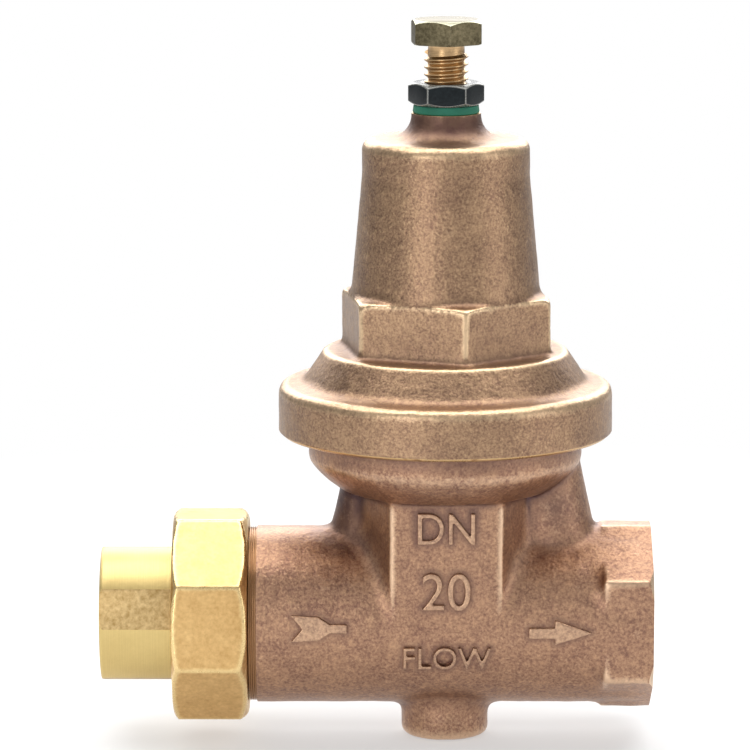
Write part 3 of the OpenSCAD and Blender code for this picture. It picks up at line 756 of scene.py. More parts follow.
@dataclass
class Casting:
    """The valve body: a bronze casting with machined ends and a bored inside. Sizes are in millimetres."""

    marks: bpy.types.Object
    run_r: float = 19.3
    hex_af: float = 38.0
    hex_len: float = 10.8
    hex_blunt: float = 20.2
    hex_chamfer: float = 1.3
    collar_x: float = 41.0
    column_w: float = 45.2
    panel_w: float = 23.8
    bowl_drop: float = 12.1
    bowl_straight: float = 5.1
    bowl_r: float = 29.7
    riser_r: float = 9.6
    riser_x: float = 27.1
    riser_lean: float = -12.5
    lobe_r: float = 8.5
    lobe_x: float = -20.2
    lobe_lean: float = 12.0
    web_x: float = -15.9
    web_r: float = 5.0
    web_depth: float = 0.75
    boss_r: float = 9.5
    boss_round: float = 1.6
    port_r: float = 13.3
    port_depth: float = 15.5
    waterway_r: float = 9.0
    chamber_r: float = 13.0
    ledge_r: float = 16.1
    bowl_bore_r: float = 26.0
    guide_r: float = 5.56
    passage_r: float = 4.2
    outlet_way_r: float = 5.8
    voxel: float = 0.56
    # Painted shade round spots, given in millimetres from the stem with an amount each: darker on the riser
    # and on the left lobe, lighter in the recess right of the panel.
    shade_spot_r: float = 8.0
    shade_spots: tuple[tuple[Triple, float], ...] = (
        ((25, -8, 26), 0.35), ((16, -12, 22), -0.4), ((-20, -3, 26), 0.65))

    def build(self) -> None:
        """Builds the body and hands it over."""
        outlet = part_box("body")[1].x / MM
        reach = (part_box("body")[1].x - STEM_X) / MM
        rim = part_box("spring_bell")[0].z / MM
        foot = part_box("body")[0].z / MM + 0.12
        rough = self._rough(reach, rim, foot)
        fuse_cast(rough, self.voxel, 4)
        fill_hollows(rough, 60, -0.03, (rim - self.bowl_drop - 3) * MM)
        ripple(rough, 0.10, 5.0, 3.0)
        ripple(rough, 0.05, 1.7, 8.0)
        # Rubbed edges that also carry a painted highlight, and painted shade: occlusion in recesses and under
        # the bell's rim, round the spots listed above, and round the raised marks.
        edge_wear_and_highlight(rough)
        painted_shade(rough, [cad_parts["spring_bell"]])
        for spot, amount in self.shade_spots:
            paint_shade_round(rough, stem_line() + Vector(spot) * MM, self.shade_spot_r, amount)
        paint_shadow_round_marks(rough, self.marks)
        body = self._machined(rough, outlet, reach, rim)
        shade(body, 50)
        deliver(body, "valve", ["body"])

    def _rough(self, reach: float, rim: float, foot: float) -> bpy.types.Object:
        """The outside as it leaves the mould.

        Args:
            reach: From the stem to the outlet face.
            rim: Height of the bell rim's lower face.
            foot: Height of the foot under the boss.

        Returns:
            The joined solid, before its edges are softened.
        """
        stem = stem_line()
        bowl_foot = rim - self.bowl_drop
        curve = 10
        rise, flare = self.bowl_drop - self.bowl_straight, self.bowl_r - self.column_w / 2
        bowl = [(0, bowl_foot)] + [
            (self.column_w / 2 + flare * (1 - (1 - i / curve) ** 1.5), bowl_foot + rise * i / curve)
            for i in range(curve + 1)] + [(self.bowl_r, rim + 2), (0, rim + 2)]
        half = self.panel_w / 2
        column = [(-self.column_w / 2, 0), (-half, -self.run_r), (half, -self.run_r), (self.column_w / 2, 0),
                  (half, self.run_r), (-half, self.run_r)]
        corner = corner_radius(self.hex_af)
        side = (corner - self.hex_blunt) * math.tan(math.radians(60))
        flat, low = self.hex_af / 2, corner / 2
        hexagon = [(flat, -low), (flat, low), (side, self.hex_blunt), (-side, self.hex_blunt), (-flat, low),
                   (-flat, -low), (-side, -self.hex_blunt), (side, -self.hex_blunt)]
        web_z, web_foot_r = self.run_r - 2.6, self.lobe_r + self.web_r
        web = turned("web", [(0, web_z - 6), (web_foot_r, web_z - 6)]
                     + arc(web_foot_r, web_z + self.web_r, self.web_r, -90, -180)
                     + [(0, web_z + self.web_r)], Axis.Z, stem + Vector((self.web_x, 0, 0)) * MM)
        web.data.transform(Matrix.Diagonal((1, self.web_depth, 1, 1)))
        solids = [
            turned("bowl", bowl, Axis.Z, stem),
            prism("column", column, "Z", 0, bowl_foot + 2, stem),
            prism("hexagon", hexagon, "X", reach - self.hex_len, reach + 2, stem),
            leaning_bar("riser", self.riser_r, stem + Vector((self.riser_x, 0, 0)) * MM, self.riser_lean,
                        rim - 2),
            leaning_bar("lobe", self.lobe_r, stem + Vector((self.lobe_x, 0, 0)) * MM, self.lobe_lean,
                        bowl_foot + 2),
            web,
            turned("boss", [(0, 0), (self.boss_r, 0), (self.boss_r, foot + self.boss_round)]
                   + arc(self.boss_r - self.boss_round, foot + self.boss_round, self.boss_round, 0, -90)[1:]
                   + [(0, foot)], Axis.Z, stem),
        ]
        run = disc_profile(self.run_r, -self.collar_x - 2, reach - 3)
        return combine(turned("valve_casting", run, Axis.X, stem, 160), solids, "UNION")

    def _machined(self, body: bpy.types.Object, outlet: float, reach: float, rim: float) -> bpy.types.Object:
        """Faces the ends, bores the waterways and opens the bowl.

        Args:
            body: The softened casting.
            outlet: Where the outlet face lies along X. Not used.
            reach: From the stem to the outlet face.
            rim: Height of the bell rim's lower face.

        Returns:
            The same object, with a machined finish on every cut face.
        """
        stem = stem_line()
        dress(body, BODY_BRONZE)
        far, wide = reach + 20, 60
        corner = corner_radius(self.hex_af)
        port_end, port_mouth = reach - self.port_depth, self.port_r + 0.9
        facing = [(0, reach), (corner - 1.7, reach), (corner + 0.3, reach - self.hex_chamfer),
                  (wide, reach - 2.6), (wide, far), (0, far)]
        cuts = [
            turned("outlet_facing", facing, Axis.X, stem),
            turned("inlet_facing", disc_profile(wide, -far - 40, -self.collar_x), Axis.X, stem),
            turned("outlet_bore", [
                (0, port_end - 4), (6, port_end - 4), (self.port_r - 0.9, port_end), (self.port_r, port_end),
                (self.port_r, reach - 0.8), (port_mouth, reach + 0.1), (port_mouth, far), (0, far)],
                Axis.X, stem),
        ]
        for part in cuts:
            dress(part, CUT_BRONZE_X)
        floor = rim - self.bowl_drop + 1.8
        inside = [
            turned("inlet_way", disc_profile(self.waterway_r, -far, -10), Axis.X, stem, 64),
            turned("chamber", [
                (0, -8.6), (self.chamber_r, -8.6), (self.chamber_r, floor - 2.8), (self.ledge_r, floor - 2.8),
                (self.ledge_r, floor), (self.ledge_r + 1, floor), (self.bowl_bore_r, floor + 6.4),
                (self.bowl_bore_r, rim + 30), (0, rim + 30)], Axis.Z, stem),
            turned("guide_hole", disc_profile(self.guide_r, -20.1, -8), Axis.Z, stem, 64),
            leaning_bar("passage", self.passage_r, stem + Vector((25.0, 0, 0)) * MM, -8.5, floor + 8),
            turned("outlet_way", disc_profile(self.outlet_way_r, 20.5, reach - 10), Axis.X, stem, 64),
        ]
        for part in inside:
            dress(part, CUT_BRONZE_X if part.name.endswith("_way") else CUT_BRONZE_Z)
        combine(body, cuts + inside, "DIFFERENCE")
        spare = turned("over_bowl", disc_profile(wide, rim + 0.1, rim + 60), Axis.Z, stem)
        return combine(body, [dress(spare, CUT_BRONZE_Z)], "DIFFERENCE")


@dataclass
class UnionSpigot:
    """The machined end of the body: grooved collar and male union thread. Sizes are in millimetres."""

    collar_r: float = 19.0
    collar_x: float = Casting.collar_x
    thread_x: float = 42.7
    crest_r: float = 18.0
    root_r: float = 16.8
    pitch: float = 2.2
    bore_r: float = Casting.waterway_r
    groove: float = 0.28

    def build(self) -> None:
        """Turns the spigot and hands it over."""
        end = (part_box("body")[0].x - STEM_X) / MM
        stem = stem_line()
        collar = [(self.bore_r, -self.collar_x + 0.2), (self.collar_r - 0.25, -self.collar_x + 0.2)]
        step = (self.thread_x - self.collar_x) / 4
        for i in range(4):
            x = -self.collar_x - step * i
            collar += [(self.collar_r, x - step * 0.15), (self.collar_r, x - step * 0.6),
                       (self.collar_r - self.groove, x - step * 0.75),
                       (self.collar_r - self.groove, x - step * 0.95)]
        profile = collar + [(self.root_r, -self.thread_x - 0.1), (self.root_r, end + 0.9),
                            (self.root_r - 0.9, end), (self.bore_r + 0.6, end), (self.bore_r, end + 0.6)]
        spigot = turned("union_spigot", profile, Axis.X, stem)
        turns = int((-end - self.thread_x - 1.0) / self.pitch)
        ridge = helix("ridge", Axis.X, stem, self.root_r - 0.1, self.crest_r, self.pitch, end + 0.5,
                      turns + 0.4, 96)
        combine(spigot, [ridge], "UNION")
        dress(spigot, SPIGOT_BRONZE)
        shade(spigot, 40)
        deliver(spigot, "valve")


@dataclass
class BellJoint:
    """The threaded flange on top of the bowl, inside the bell's rim. Sizes are in millimetres."""

    bore_r: float = Casting.bowl_bore_r
    foot_r: float = 29.2
    root_r: float = 31.72
    crest_r: float = 32.82
    pitch: float = 1.867
    step: float = 0.4

    def build(self) -> None:
        """Turns the flange, which carries the diaphragm's edge, and hands it over."""
        rim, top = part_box("spring_bell")[0].z / MM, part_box("body")[1].z / MM
        low = rim + self.step
        stem = stem_line()
        flange = turned("bell_joint", [
            (self.bore_r, rim - 0.3), (self.foot_r, rim - 0.3), (self.foot_r, low), (self.root_r - 0.4, low),
            (self.root_r, low + 0.4), (self.root_r, top - 0.3), (self.root_r - 0.3, top),
            (self.bore_r + 0.4, top), (self.bore_r, top - 0.4)], Axis.Z, stem, 192)
        turns = (top - low - 0.5) / self.pitch - 1
        ridge = helix("ridge", Axis.Z, stem, self.root_r - 0.1, self.crest_r, self.pitch, low + 0.2, turns,
                      128)
        combine(flange, [ridge], "UNION")
        dress(flange, CUT_BRONZE_Z)
        shade(flange, 40)
        deliver(flange, "valve")


@dataclass
class PortThread:
    """The internal pipe thread of a port, as a thin sleeve in its bore. Sizes are in millimetres."""

    name: str
    body: str
    slot: str
    finish: Finish
    mouth: float
    inward: float
    wall_r: float = 13.4
    crest_r: float = 12.15
    pitch: float = 1.814
    depth: float = 15.2

    def build(self) -> None:
        """Builds the sleeve and hands it over. inward is the way into the port along X, +1 or -1."""
        low, high = sorted(self.mouth + self.inward * depth for depth in (0.9, self.depth))
        root = self.crest_r + 1.0
        origin = Vector((0, 0, 0))
        profile = [(self.wall_r, low), (self.wall_r, high), (root, high), (root, low)]
        sleeve = turned(self.name, profile, Axis.X, origin)
        turns = (high - low - self.pitch) / self.pitch
        ridge = helix("ridge", Axis.X, origin, root + 0.08, self.crest_r, self.pitch, low, turns, 64)
        combine(sleeve, [ridge], "UNION")
        dress(sleeve, self.finish)
        shade(sleeve, 40)
        deliver(sleeve, self.body)


@dataclass
class FrontMarks:
    """Raised generic marks on the body's front: nominal size and flow direction. Sizes are in millimetres."""

    run_r: float = Casting.run_r
    panel_half: float = Casting.panel_w / 2
    raised: float = 0.95
    sunk: float = 0.5

    def build(self) -> bpy.types.Object:
        """Builds the marks as one piece, hands it over and returns it."""
        marks = [self._word("DN", 6.8, 0.0, 19.6, 0.9), self._word("20", 8.0, 0.0, 5.2, 0.95),
                 self._word("FLOW", 5.0, 0.0, -8.2, 0.95),
                 self._outline([(-33.4, 3.9), (-27.5, 3.6), (-25.0, 2.0), (-21.4, 2.0), (-21.4, 0.1),
                                (-25.0, 0.1), (-27.5, -1.5), (-33.4, -1.9), (-31.0, 1.0)]),
                 self._outline([(17.8, 1.2), (23.4, 1.2), (23.4, 2.9), (31.4, 0.1), (23.4, -2.5),
                                (23.4, -1.1), (17.8, -1.1)])]
        base = combine(marks[0], marks[1:], "UNION")
        base.name = base.data.name = "front_marks"
        fuse_cast(base, 0.16, 7)
        co = neighbours(base.data)[0] / MM
        on_run = (co[:, 2] < 0) | (np.abs(co[:, 0] - STEM_X / MM) > self.panel_half)
        height = np.where(on_run, np.hypot(co[:, 1], co[:, 2]), -co[:, 1]) - self.run_r
        # Mark tops are lightened as rubbing and as a painted highlight; their feet are darkened as a painted
        # shadow.
        store(base.data, "bend", np.clip((height / self.raised - 0.5) * 1.4, -0.7, 0.30))
        dress(base, BODY_BRONZE)
        shade(base, 60)
        deliver(base, "valve")
        return base

    def _word(self, text: str, height: float, x: float, z: float, width: float) -> bpy.types.Object:
        """One word, laid on the front.

        Args:
            text: The letters.
            height: Height of a capital.
            x: The word's middle, from the stem.
            z: The word's foot.
            width: How much wider than drawn the letters are.

        Returns:
            The word as a closed solid on the body's front.
        """
        curve = bpy.data.curves.new("word", "FONT")
        curve.body, curve.align_x, curve.size = text, "CENTER", 1.0
        curve.extrude, curve.offset, curve.resolution_u = 0.5, 0.004, 6
        holder = bpy.data.objects.new("word", curve)
        bpy.context.scene.collection.objects.link(holder)
        mesh = bpy.data.meshes.new_from_object(holder.evaluated_get(bpy.context.evaluated_depsgraph_get()))
        bpy.data.objects.remove(holder)
        bpy.data.curves.remove(curve)
        bm = bmesh.new()
        bm.from_mesh(mesh)
        bpy.data.meshes.remove(mesh)
        capital = 0.69
        scale = height / capital
        bmesh.ops.triangulate(bm, faces=[f for f in bm.faces if len(f.verts) > 4])
        for vert in bm.verts:
            vert.co = self._laid(x + vert.co.x * scale * width, z + vert.co.y * scale, vert.co.z > 0)
        return to_object("word", bm)

    def _outline(self, corners: Sequence[Point]) -> bpy.types.Object:
        """One flat shape, given by its (x, z) corners, laid on the front."""
        bm = bmesh.new()
        extrude(bm, [(u, v, 0) for u, v in corners], Vector((0, 0, 1)))
        bmesh.ops.subdivide_edges(bm, edges=bm.edges[:], cuts=1)
        bmesh.ops.triangulate(bm, faces=bm.faces[:])
        for vert in bm.verts:
            low, high = (self._laid(vert.co.x, vert.co.y, top) for top in (False, True))
            vert.co = low.lerp(high, vert.co.z)
        return to_object("outline", bm)

    def _laid(self, x: float, z: float, top: bool) -> Vector:
        """The place on the front of the body at a distance from the stem and a height."""
        curved = abs(x) > self.panel_half or z < 0
        surface = math.sqrt(self.run_r ** 2 - z ** 2) if curved else self.run_r
        return stem_line() + Vector((x, -surface - (self.raised if top else -self.sunk), z)) * MM


@dataclass
class SpringBell:
    """The spring bell: rim, shoulder, wrench hexagon, tapered barrel and neck. Sizes are in millimetres."""

    rim_h: float = 10.9
    shoulder_r: float = 30.6
    shoulder_top_r: float = 26.3
    shoulder_h: float = 7.3
    hex_af: float = 41.8
    hex_h: float = 12.2
    hex_turn: float = -20.6
    barrel_top_r: float = 18.1
    barrel_h: float = 33.8
    dome_round: float = 2.4
    neck_r: float = 7.5
    rim_round: float = 2.1
    spring_bore_r: float = 14.7
    hex_wall: float = 3.6
    rim_wall: float = 3.4
    skin: float = 0.06
    screw_r: float = 4.81
    voxel: float = 0.5

    def build(self) -> None:
        """Builds the bell and hands it over."""
        low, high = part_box("spring_bell")
        base, top, rim_r = low.z / MM, high.z / MM, (high.x - low.x) / 2 / MM - self.skin
        stem = stem_line()
        rim_top = base + self.rim_h
        shoulder_top = rim_top + self.shoulder_h
        hex_top = shoulder_top + self.hex_h
        dome = hex_top + self.barrel_h
        flare = top - dome - 0.4
        barrel_r = self.hex_af / 2 - 0.4
        turned_part = turned("spring_bell_casting", [
            (0, base - 2), (rim_r, base - 2), (rim_r, rim_top - self.rim_round)]
            + arc(rim_r - self.rim_round, rim_top - self.rim_round, self.rim_round, 0, 90)[1:]
            + [(self.shoulder_r + 0.6, rim_top + 0.1), (self.shoulder_r, rim_top + 0.9),
               (self.shoulder_top_r, shoulder_top), (0, shoulder_top)], Axis.Z, stem)
        barrel = turned("barrel", [
            (0, shoulder_top - 1), (barrel_r, shoulder_top - 1), (barrel_r, hex_top),
            (self.barrel_top_r, dome - 8)]
            + arc(self.barrel_top_r - self.dome_round, dome - self.dome_round, self.dome_round, 0, 90)
            + arc(self.neck_r + flare, dome + flare, flare, -90, -180)
            + [(self.neck_r, top + 1.5), (0, top + 1.5)], Axis.Z, stem)
        corner = corner_radius(self.hex_af)
        hexagon = prism("hexagon", polygon(corner, 6, self.hex_turn), "Z", shoulder_top - 1, hex_top, stem)
        crown = turned("crown", [
            (0, shoulder_top - 2), (corner + 1, shoulder_top - 2), (corner + 1, hex_top - 1.6),
            (corner - 1.6, hex_top + 0.2), (0, hex_top + 0.2)], Axis.Z, stem)
        combine(hexagon, [crown], "INTERSECT")
        bell = combine(turned_part, [barrel, hexagon], "UNION")
        fuse_cast(bell, self.voxel, 4)
        fill_hollows(bell, 22, (rim_top - 1) * MM, (hex_top + 6) * MM)
        ripple(bell, 0.08, 5.0, 11.0)
        ripple(bell, 0.04, 1.6, 17.0)
        # Rubbed edges that also carry a painted highlight, and painted shade: occlusion in recesses and under
        # the lock nut, and a darker neck above the dome.
        edge_wear_and_highlight(bell)
        painted_shade(bell, [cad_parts["lock_nut"]])
        paint_shade_above(bell, (dome + 0.2) * MM, 0.5)
        dress(bell, BELL_BRONZE)
        thread_r = rim_r + self.skin - self.rim_wall
        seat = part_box("friction_ring")[1].z / MM
        wide, hex_bore_r = 60, self.hex_af / 2 - self.hex_wall
        inside = [
            turned("face", [(0, base - 10), (wide, base - 10), (wide, base + 2), (rim_r + 0.1, base + 0.75),
                            (rim_r - 0.75, base), (0, base)], Axis.Z, stem),
            turned("neck_face", disc_profile(wide, top, top + 20), Axis.Z, stem),
            turned("cavity", [
                (0, base - 5), (thread_r, base - 5), (thread_r, seat), (thread_r - 9, seat),
                (thread_r - 9, rim_top + 1.5), (hex_bore_r, shoulder_top + 2), (hex_bore_r, hex_top - 1),
                (self.spring_bore_r, dome - 6), (0, dome - 6)], Axis.Z, stem),
            turned("screw_hole", disc_profile(self.screw_r, dome - 8, top + 10), Axis.Z, stem, 64),
        ]
        combine(bell, [dress(part, CUT_BRONZE_Z) for part in inside], "DIFFERENCE")
        shade(bell, 50)
        deliver(bell, "valve", ["spring_bell"])


@dataclass
class Adjuster:
    """The adjusting screw, its lock nut and the washer under it. Sizes are in millimetres."""

    pitch: float = 1.5875
    across: float = 14.3
    head_h: float = 5.2
    head_turn: float = -24.4
    screw_r: float = 4.75
    root_r: float = 3.95
    hole_r: float = SpringBell.screw_r

    def build(self) -> None:
        """Builds the three pieces and hands them over."""
        self._screw()
        self._nut()
        self._washer()

    def _chamfered_hexagon(self, name: str, low: float, high: float, turn: float, foot: float,
                           top: float) -> bpy.types.Object:
        """A hexagon whose corners are turned off at either end.

        Args:
            name: The object's name.
            low: Height of its lower face.
            high: Height of its upper face.
            turn: Angle of its first corner.
            foot: Depth of the lower chamfer at the corners.
            top: Depth of the upper chamfer.

        Returns:
            The new object.
        """
        corner = corner_radius(self.across)
        slope, spare = 1.75, 0.2
        bar = prism(name, polygon(corner, 6, turn), "Z", low, high, stem_line())
        skin = turned("skin", [
            (0, low), (corner - foot * slope, low), (corner + spare, low + foot + spare / slope),
            (corner + spare, high - top - spare / slope), (corner - top * slope, high), (0, high)],
            Axis.Z, stem_line())
        return combine(bar, [skin], "INTERSECT")

    def _screw(self) -> None:
        """The adjusting screw with its rolled thread."""
        low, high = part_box("adjusting_screw")
        tip, top = low.z / MM, high.z / MM
        head = top - self.head_h
        stem = stem_line()
        shank = turned("adjusting_screw_body", [
            (0, tip), (self.root_r - 0.6, tip), (self.root_r, tip + 0.8), (self.root_r, head - 1.5),
            (self.root_r - 0.05, head - 0.4), (self.root_r + 0.3, head + 0.2), (0, head + 0.2)],
            Axis.Z, stem, 64)
        turns = (head - 1.4 - tip - self.pitch) / self.pitch
        ridge = helix("ridge", Axis.Z, stem, self.root_r - 0.08, self.screw_r, self.pitch, tip + 0.3, turns,
                      48)
        combine(shank, [ridge], "UNION")
        dress(shank, ZINC_THREAD)
        cap = self._chamfered_hexagon("cap", head, top, self.head_turn, 0.25, 0.75)
        bevelled(cap, 0.22, 3)
        # Bevel faces lightened as rubbing and as a painted highlight.
        edge_faces(cap, 1.6)
        combine(shank, [dress(cap, ZINC_HEAD)], "UNION")
        shade(shank, 35)
        deliver(shank, "screw", ["adjusting_screw"])

    def _nut(self) -> None:
        """The black lock nut."""
        low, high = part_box("lock_nut")
        z0, z1 = low.z / MM, high.z / MM
        nut = self._chamfered_hexagon("jam_nut_body", z0, z1, 0, 0.75, 0.75)
        mouth_r = 5.3
        bore = turned("bore", [
            (0, z0 - 1), (mouth_r, z0 - 1), (mouth_r, z0), (self.hole_r, z0 + 0.5), (self.hole_r, z1 - 0.5),
            (mouth_r, z1), (mouth_r, z1 + 1), (0, z1 + 1)], Axis.Z, stem_line(), 64)
        combine(nut, [bore], "DIFFERENCE")
        bevelled(nut, 0.22, 3)
        # Bevel faces lightened as rubbing and as a painted highlight.
        edge_faces(nut, 1.3)
        dress(nut, BLACK_OXIDE)
        shade(nut, 35)
        deliver(nut, "jam_nut", ["lock_nut"])

    def _washer(self) -> None:
        """The green sealing washer."""
        low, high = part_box("seal_washer")
        z0, z1, r = low.z / MM, high.z / MM, (high.x - low.x) / 2 / MM
        hole, edge = 4.9, 0.35
        profile = ([(hole, z0), (r - edge, z0)] + arc(r - edge, z0 + edge, edge, -90, 0, 4)[1:]
                   + arc(r - edge - 0.15, z1 - edge, edge, 0, 90, 4) + [(hole, z1)])
        washer = turned("green_washer", profile, Axis.Z, stem_line(), 96)
        dress(washer, GREEN_NYLON)
        shade(washer, 35)
        deliver(washer, "nut_carrier", ["seal_washer"])


@dataclass
class Union:
    """The union nut and the tailpiece it draws up. Sizes are in millimetres."""

    across: float = 44.0
    nut_turn: float = 3.5
    nut_bore: float = 18.06
    lip: float = 4.0
    lip_hole: float = 15.3
    tail_r: float = 15.0
    flange_r: float = 17.76
    flange_t: float = 3.4
    port_r: float = Casting.port_r
    port_depth: float = Casting.port_depth
    waterway: float = 9.5
    flat_depth: float = 0.66
    flat_turn: float = -16.0

    def build(self) -> None:
        """Builds the nut and the tailpiece and hands them over."""
        self._nut()
        self._tailpiece()

    def _nut(self) -> None:
        """The octagonal union nut."""
        low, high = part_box("union_nut")
        x0, x1 = low.x / MM, high.x / MM
        flat = self.across / 2
        corner = corner_radius(self.across, 8)
        origin = Vector((0, 0, 0))
        nut = prism("union_nut_body", polygon(corner, 8, 22.5 - self.nut_turn), "X", x0, x1, origin)
        skin = turned("skin", [(0, x0), (flat - 0.3, x0), (corner + 0.4, x0 + 1.3), (corner + 0.4, x1 - 1.8),
                               (flat - 0.6, x1), (0, x1)], Axis.X, origin, 128)
        combine(nut, [skin], "INTERSECT")
        bevelled(nut, 1.9, 6, 25)
        fuse_cast(nut, 0.42, 2)
        ripple(nut, 0.05, 4.0, 5.0)
        # Edges lightened as rubbing and as a painted highlight; creases darkened as painted shade.
        edge_wear_and_highlight(nut)
        dress(nut, NUT_BRASS)
        root = self.nut_bore + 0.1
        lip_end, mouth = x0 + self.lip + 1, self.lip_hole + 0.5
        bores = [
            turned("lip_hole", [(0, x0 - 5), (mouth, x0 - 5), (mouth, x0), (self.lip_hole, x0 + 0.5),
                                (self.lip_hole, lip_end), (0, lip_end)], Axis.X, origin),
            turned("thread_bore", [(0, x0 + self.lip), (root, x0 + self.lip), (root, x1 - 0.9),
                                   (root + 0.9, x1), (root + 0.9, x1 + 5), (0, x1 + 5)], Axis.X, origin)]
        combine(nut, [dress(bore, TAIL_BRASS) for bore in bores], "DIFFERENCE")
        shade(nut, 50)
        deliver(nut, "coupling_nut", ["union_nut"])

    def _tailpiece(self) -> None:
        """The tailpiece with its flange, wrench flats and port."""
        low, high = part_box("tailpiece")
        x0, x1 = low.x / MM, high.x / MM
        shoulder, port_end = x1 - self.flange_t, x0 + self.port_depth
        tail = turned("union_tailpiece", [
            (self.port_r + 0.8, x0), (self.tail_r - 0.7, x0), (self.tail_r - 0.2, x0 + 0.2),
            (self.tail_r, x0 + 0.7), (self.tail_r, shoulder), (self.flange_r - 0.3, shoulder),
            (self.flange_r, shoulder + 0.3), (self.flange_r, x1 - 0.3), (self.flange_r - 0.3, x1),
            (self.waterway + 0.4, x1), (self.waterway, x1 - 0.4), (self.waterway, port_end + 3),
            (self.port_r - 0.5, port_end), (self.port_r, port_end - 0.2), (self.port_r, x0 + 0.8)],
            Axis.X, Vector((0, 0, 0)), 160)
        dress(tail, TAIL_BRASS)
        flats = []
        reach, level = self.tail_r + 1, -self.tail_r + self.flat_depth
        flat_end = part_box("union_nut")[0].x / MM + 0.8
        for side in range(4):
            outline = [(-reach - 2, -reach), (level, -reach), (level, reach), (-reach - 2, reach)]
            block = prism("flat", outline, "X", x0 - 1, flat_end)
            block.data.transform(Matrix.Rotation(math.radians(90 * side + self.flat_turn), 4, "X"))
            flats.append(dress(block, FLAT_BRASS))
        combine(tail, flats, "DIFFERENCE")
        bevelled(tail, 0.12, 2, 18)
        shade(tail, 30)
        deliver(tail, "tail", ["tailpiece"])


@dataclass
class InnerWorks:
    """The pieces inside, which keep their CAD shapes and get their own finishes."""

    def build(self) -> None:
        """Dresses each CAD node that is left."""
        finishes = {
            "spring_button": ZINC_PLATE, "friction_ring": STAINLESS, "upper_plate": STAINLESS,
            "lower_plate": WORKS_BRASS, "lock_washer": STAINLESS, "stem_nut": STAINLESS,
            "valve_stem": WORKS_BRASS, "seat_disc": RUBBER, "disc_washer": STAINLESS, "disc_nut": WORKS_BRASS,
            "seat_ring": STAINLESS, "cage": WORKS_BRASS, "cage_o_ring": RUBBER, "strainer": STAINLESS,
            "guide_bush": ACETAL, "union_gasket": GASKET}
        for name, finish in finishes.items():
            dress(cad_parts[name], finish)
            LOG.info("%s keeps its CAD shape", name)


@dataclass
class YieldingWorks:
    """The adjusting spring and the diaphragm, which change shape as the stem and the screw move."""

    wire: float = 3.8

    def build(self) -> None:
        """Copies the two CAD shapes into new pieces."""
        self._diaphragm()
        self._spring()

    def _copy(self, node: str, name: str, cut: float | None = None, above: bool = True) -> bpy.types.Object:
        """A new object with a CAD node's shape, or with what lies on one side of a level cut.

        Args:
            node: The CAD node.
            name: The new object's name.
            cut: Height of the cut in metres, or None for the whole shape.
            above: Whether the part above the cut is kept.

        Returns:
            The new object.
        """
        bm = bmesh.new()
        bm.from_mesh(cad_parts[node].data)
        bm.transform(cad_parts[node].matrix_world)
        bmesh.ops.remove_doubles(bm, verts=bm.verts, dist=1e-6)
        if cut is not None:
            whole = bm.verts[:] + bm.edges[:] + bm.faces[:]
            found = bmesh.ops.bisect_plane(bm, geom=whole, plane_co=(0, 0, cut), plane_no=(0, 0, 1),
                                           clear_inner=above, clear_outer=not above)
            rim = [item for item in found["geom_cut"] if isinstance(item, bmesh.types.BMEdge)]
            bmesh.ops.holes_fill(bm, edges=rim, sides=0)
        return to_object(name, bm)

    def _yields(self, obj: bpy.types.Object, bodies: tuple[str, str],
                node: str) -> None:
        """Bakes a piece's placement into its mesh, hides the CAD node it stands for and logs the two bodies.
        """
        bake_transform(obj)
        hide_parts(node)
        LOG.info("%s bends between %s and %s", obj.name, *bodies)

    def _diaphragm(self) -> None:
        """The diaphragm, copied whole. In the valve its clamped edge stays in the body and its hub follows
        the stem.
        """
        sheet = dress(self._copy("diaphragm", "rubber_diaphragm"), RUBBER)
        shade(sheet, 30)
        self._yields(sheet, ("valve", "stem"), "diaphragm")

    def _spring(self) -> None:
        """The spring, cut at its middle into two halves. In the valve its ends sit on the stem's plate and
        the button.
        """
        low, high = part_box("adjusting_spring")
        middle = (low.z + high.z) / 2
        halves = (("spring_foot", False, "stem", low.z + self.wire * MM),
                  ("spring_head", True, "screw_carrier", high.z - self.wire * MM))
        for name, above, body, end in halves:
            half = dress(self._copy("adjusting_spring", name, middle, above), SPRING_WIRE)
            shade(half, 50)
            self._yields(half, ("valve", body), "adjusting_spring")


@dataclass(frozen=True)
class Softbox:
    """One lamp. Its place is measured from the object's middle, in metres, and its power is in watts."""

    name: str
    place: Triple
    width: float
    height: float
    power: float

    def hang(self, middle: Vector) -> None:
        """Hangs the lamp so that it faces the object's middle."""
        data = bpy.data.lights.new(self.name, "AREA")
        data.shape, data.size, data.size_y, data.energy = "RECTANGLE", self.width, self.height, self.power
        lamp = bpy.data.objects.new(self.name, data)
        lamp.location = middle + Vector(self.place)
        lamp.visible_camera = False
        lamp.rotation_euler = (middle - lamp.location).to_track_quat("-Z", "Y").to_euler()
        bpy.context.scene.collection.objects.link(lamp)


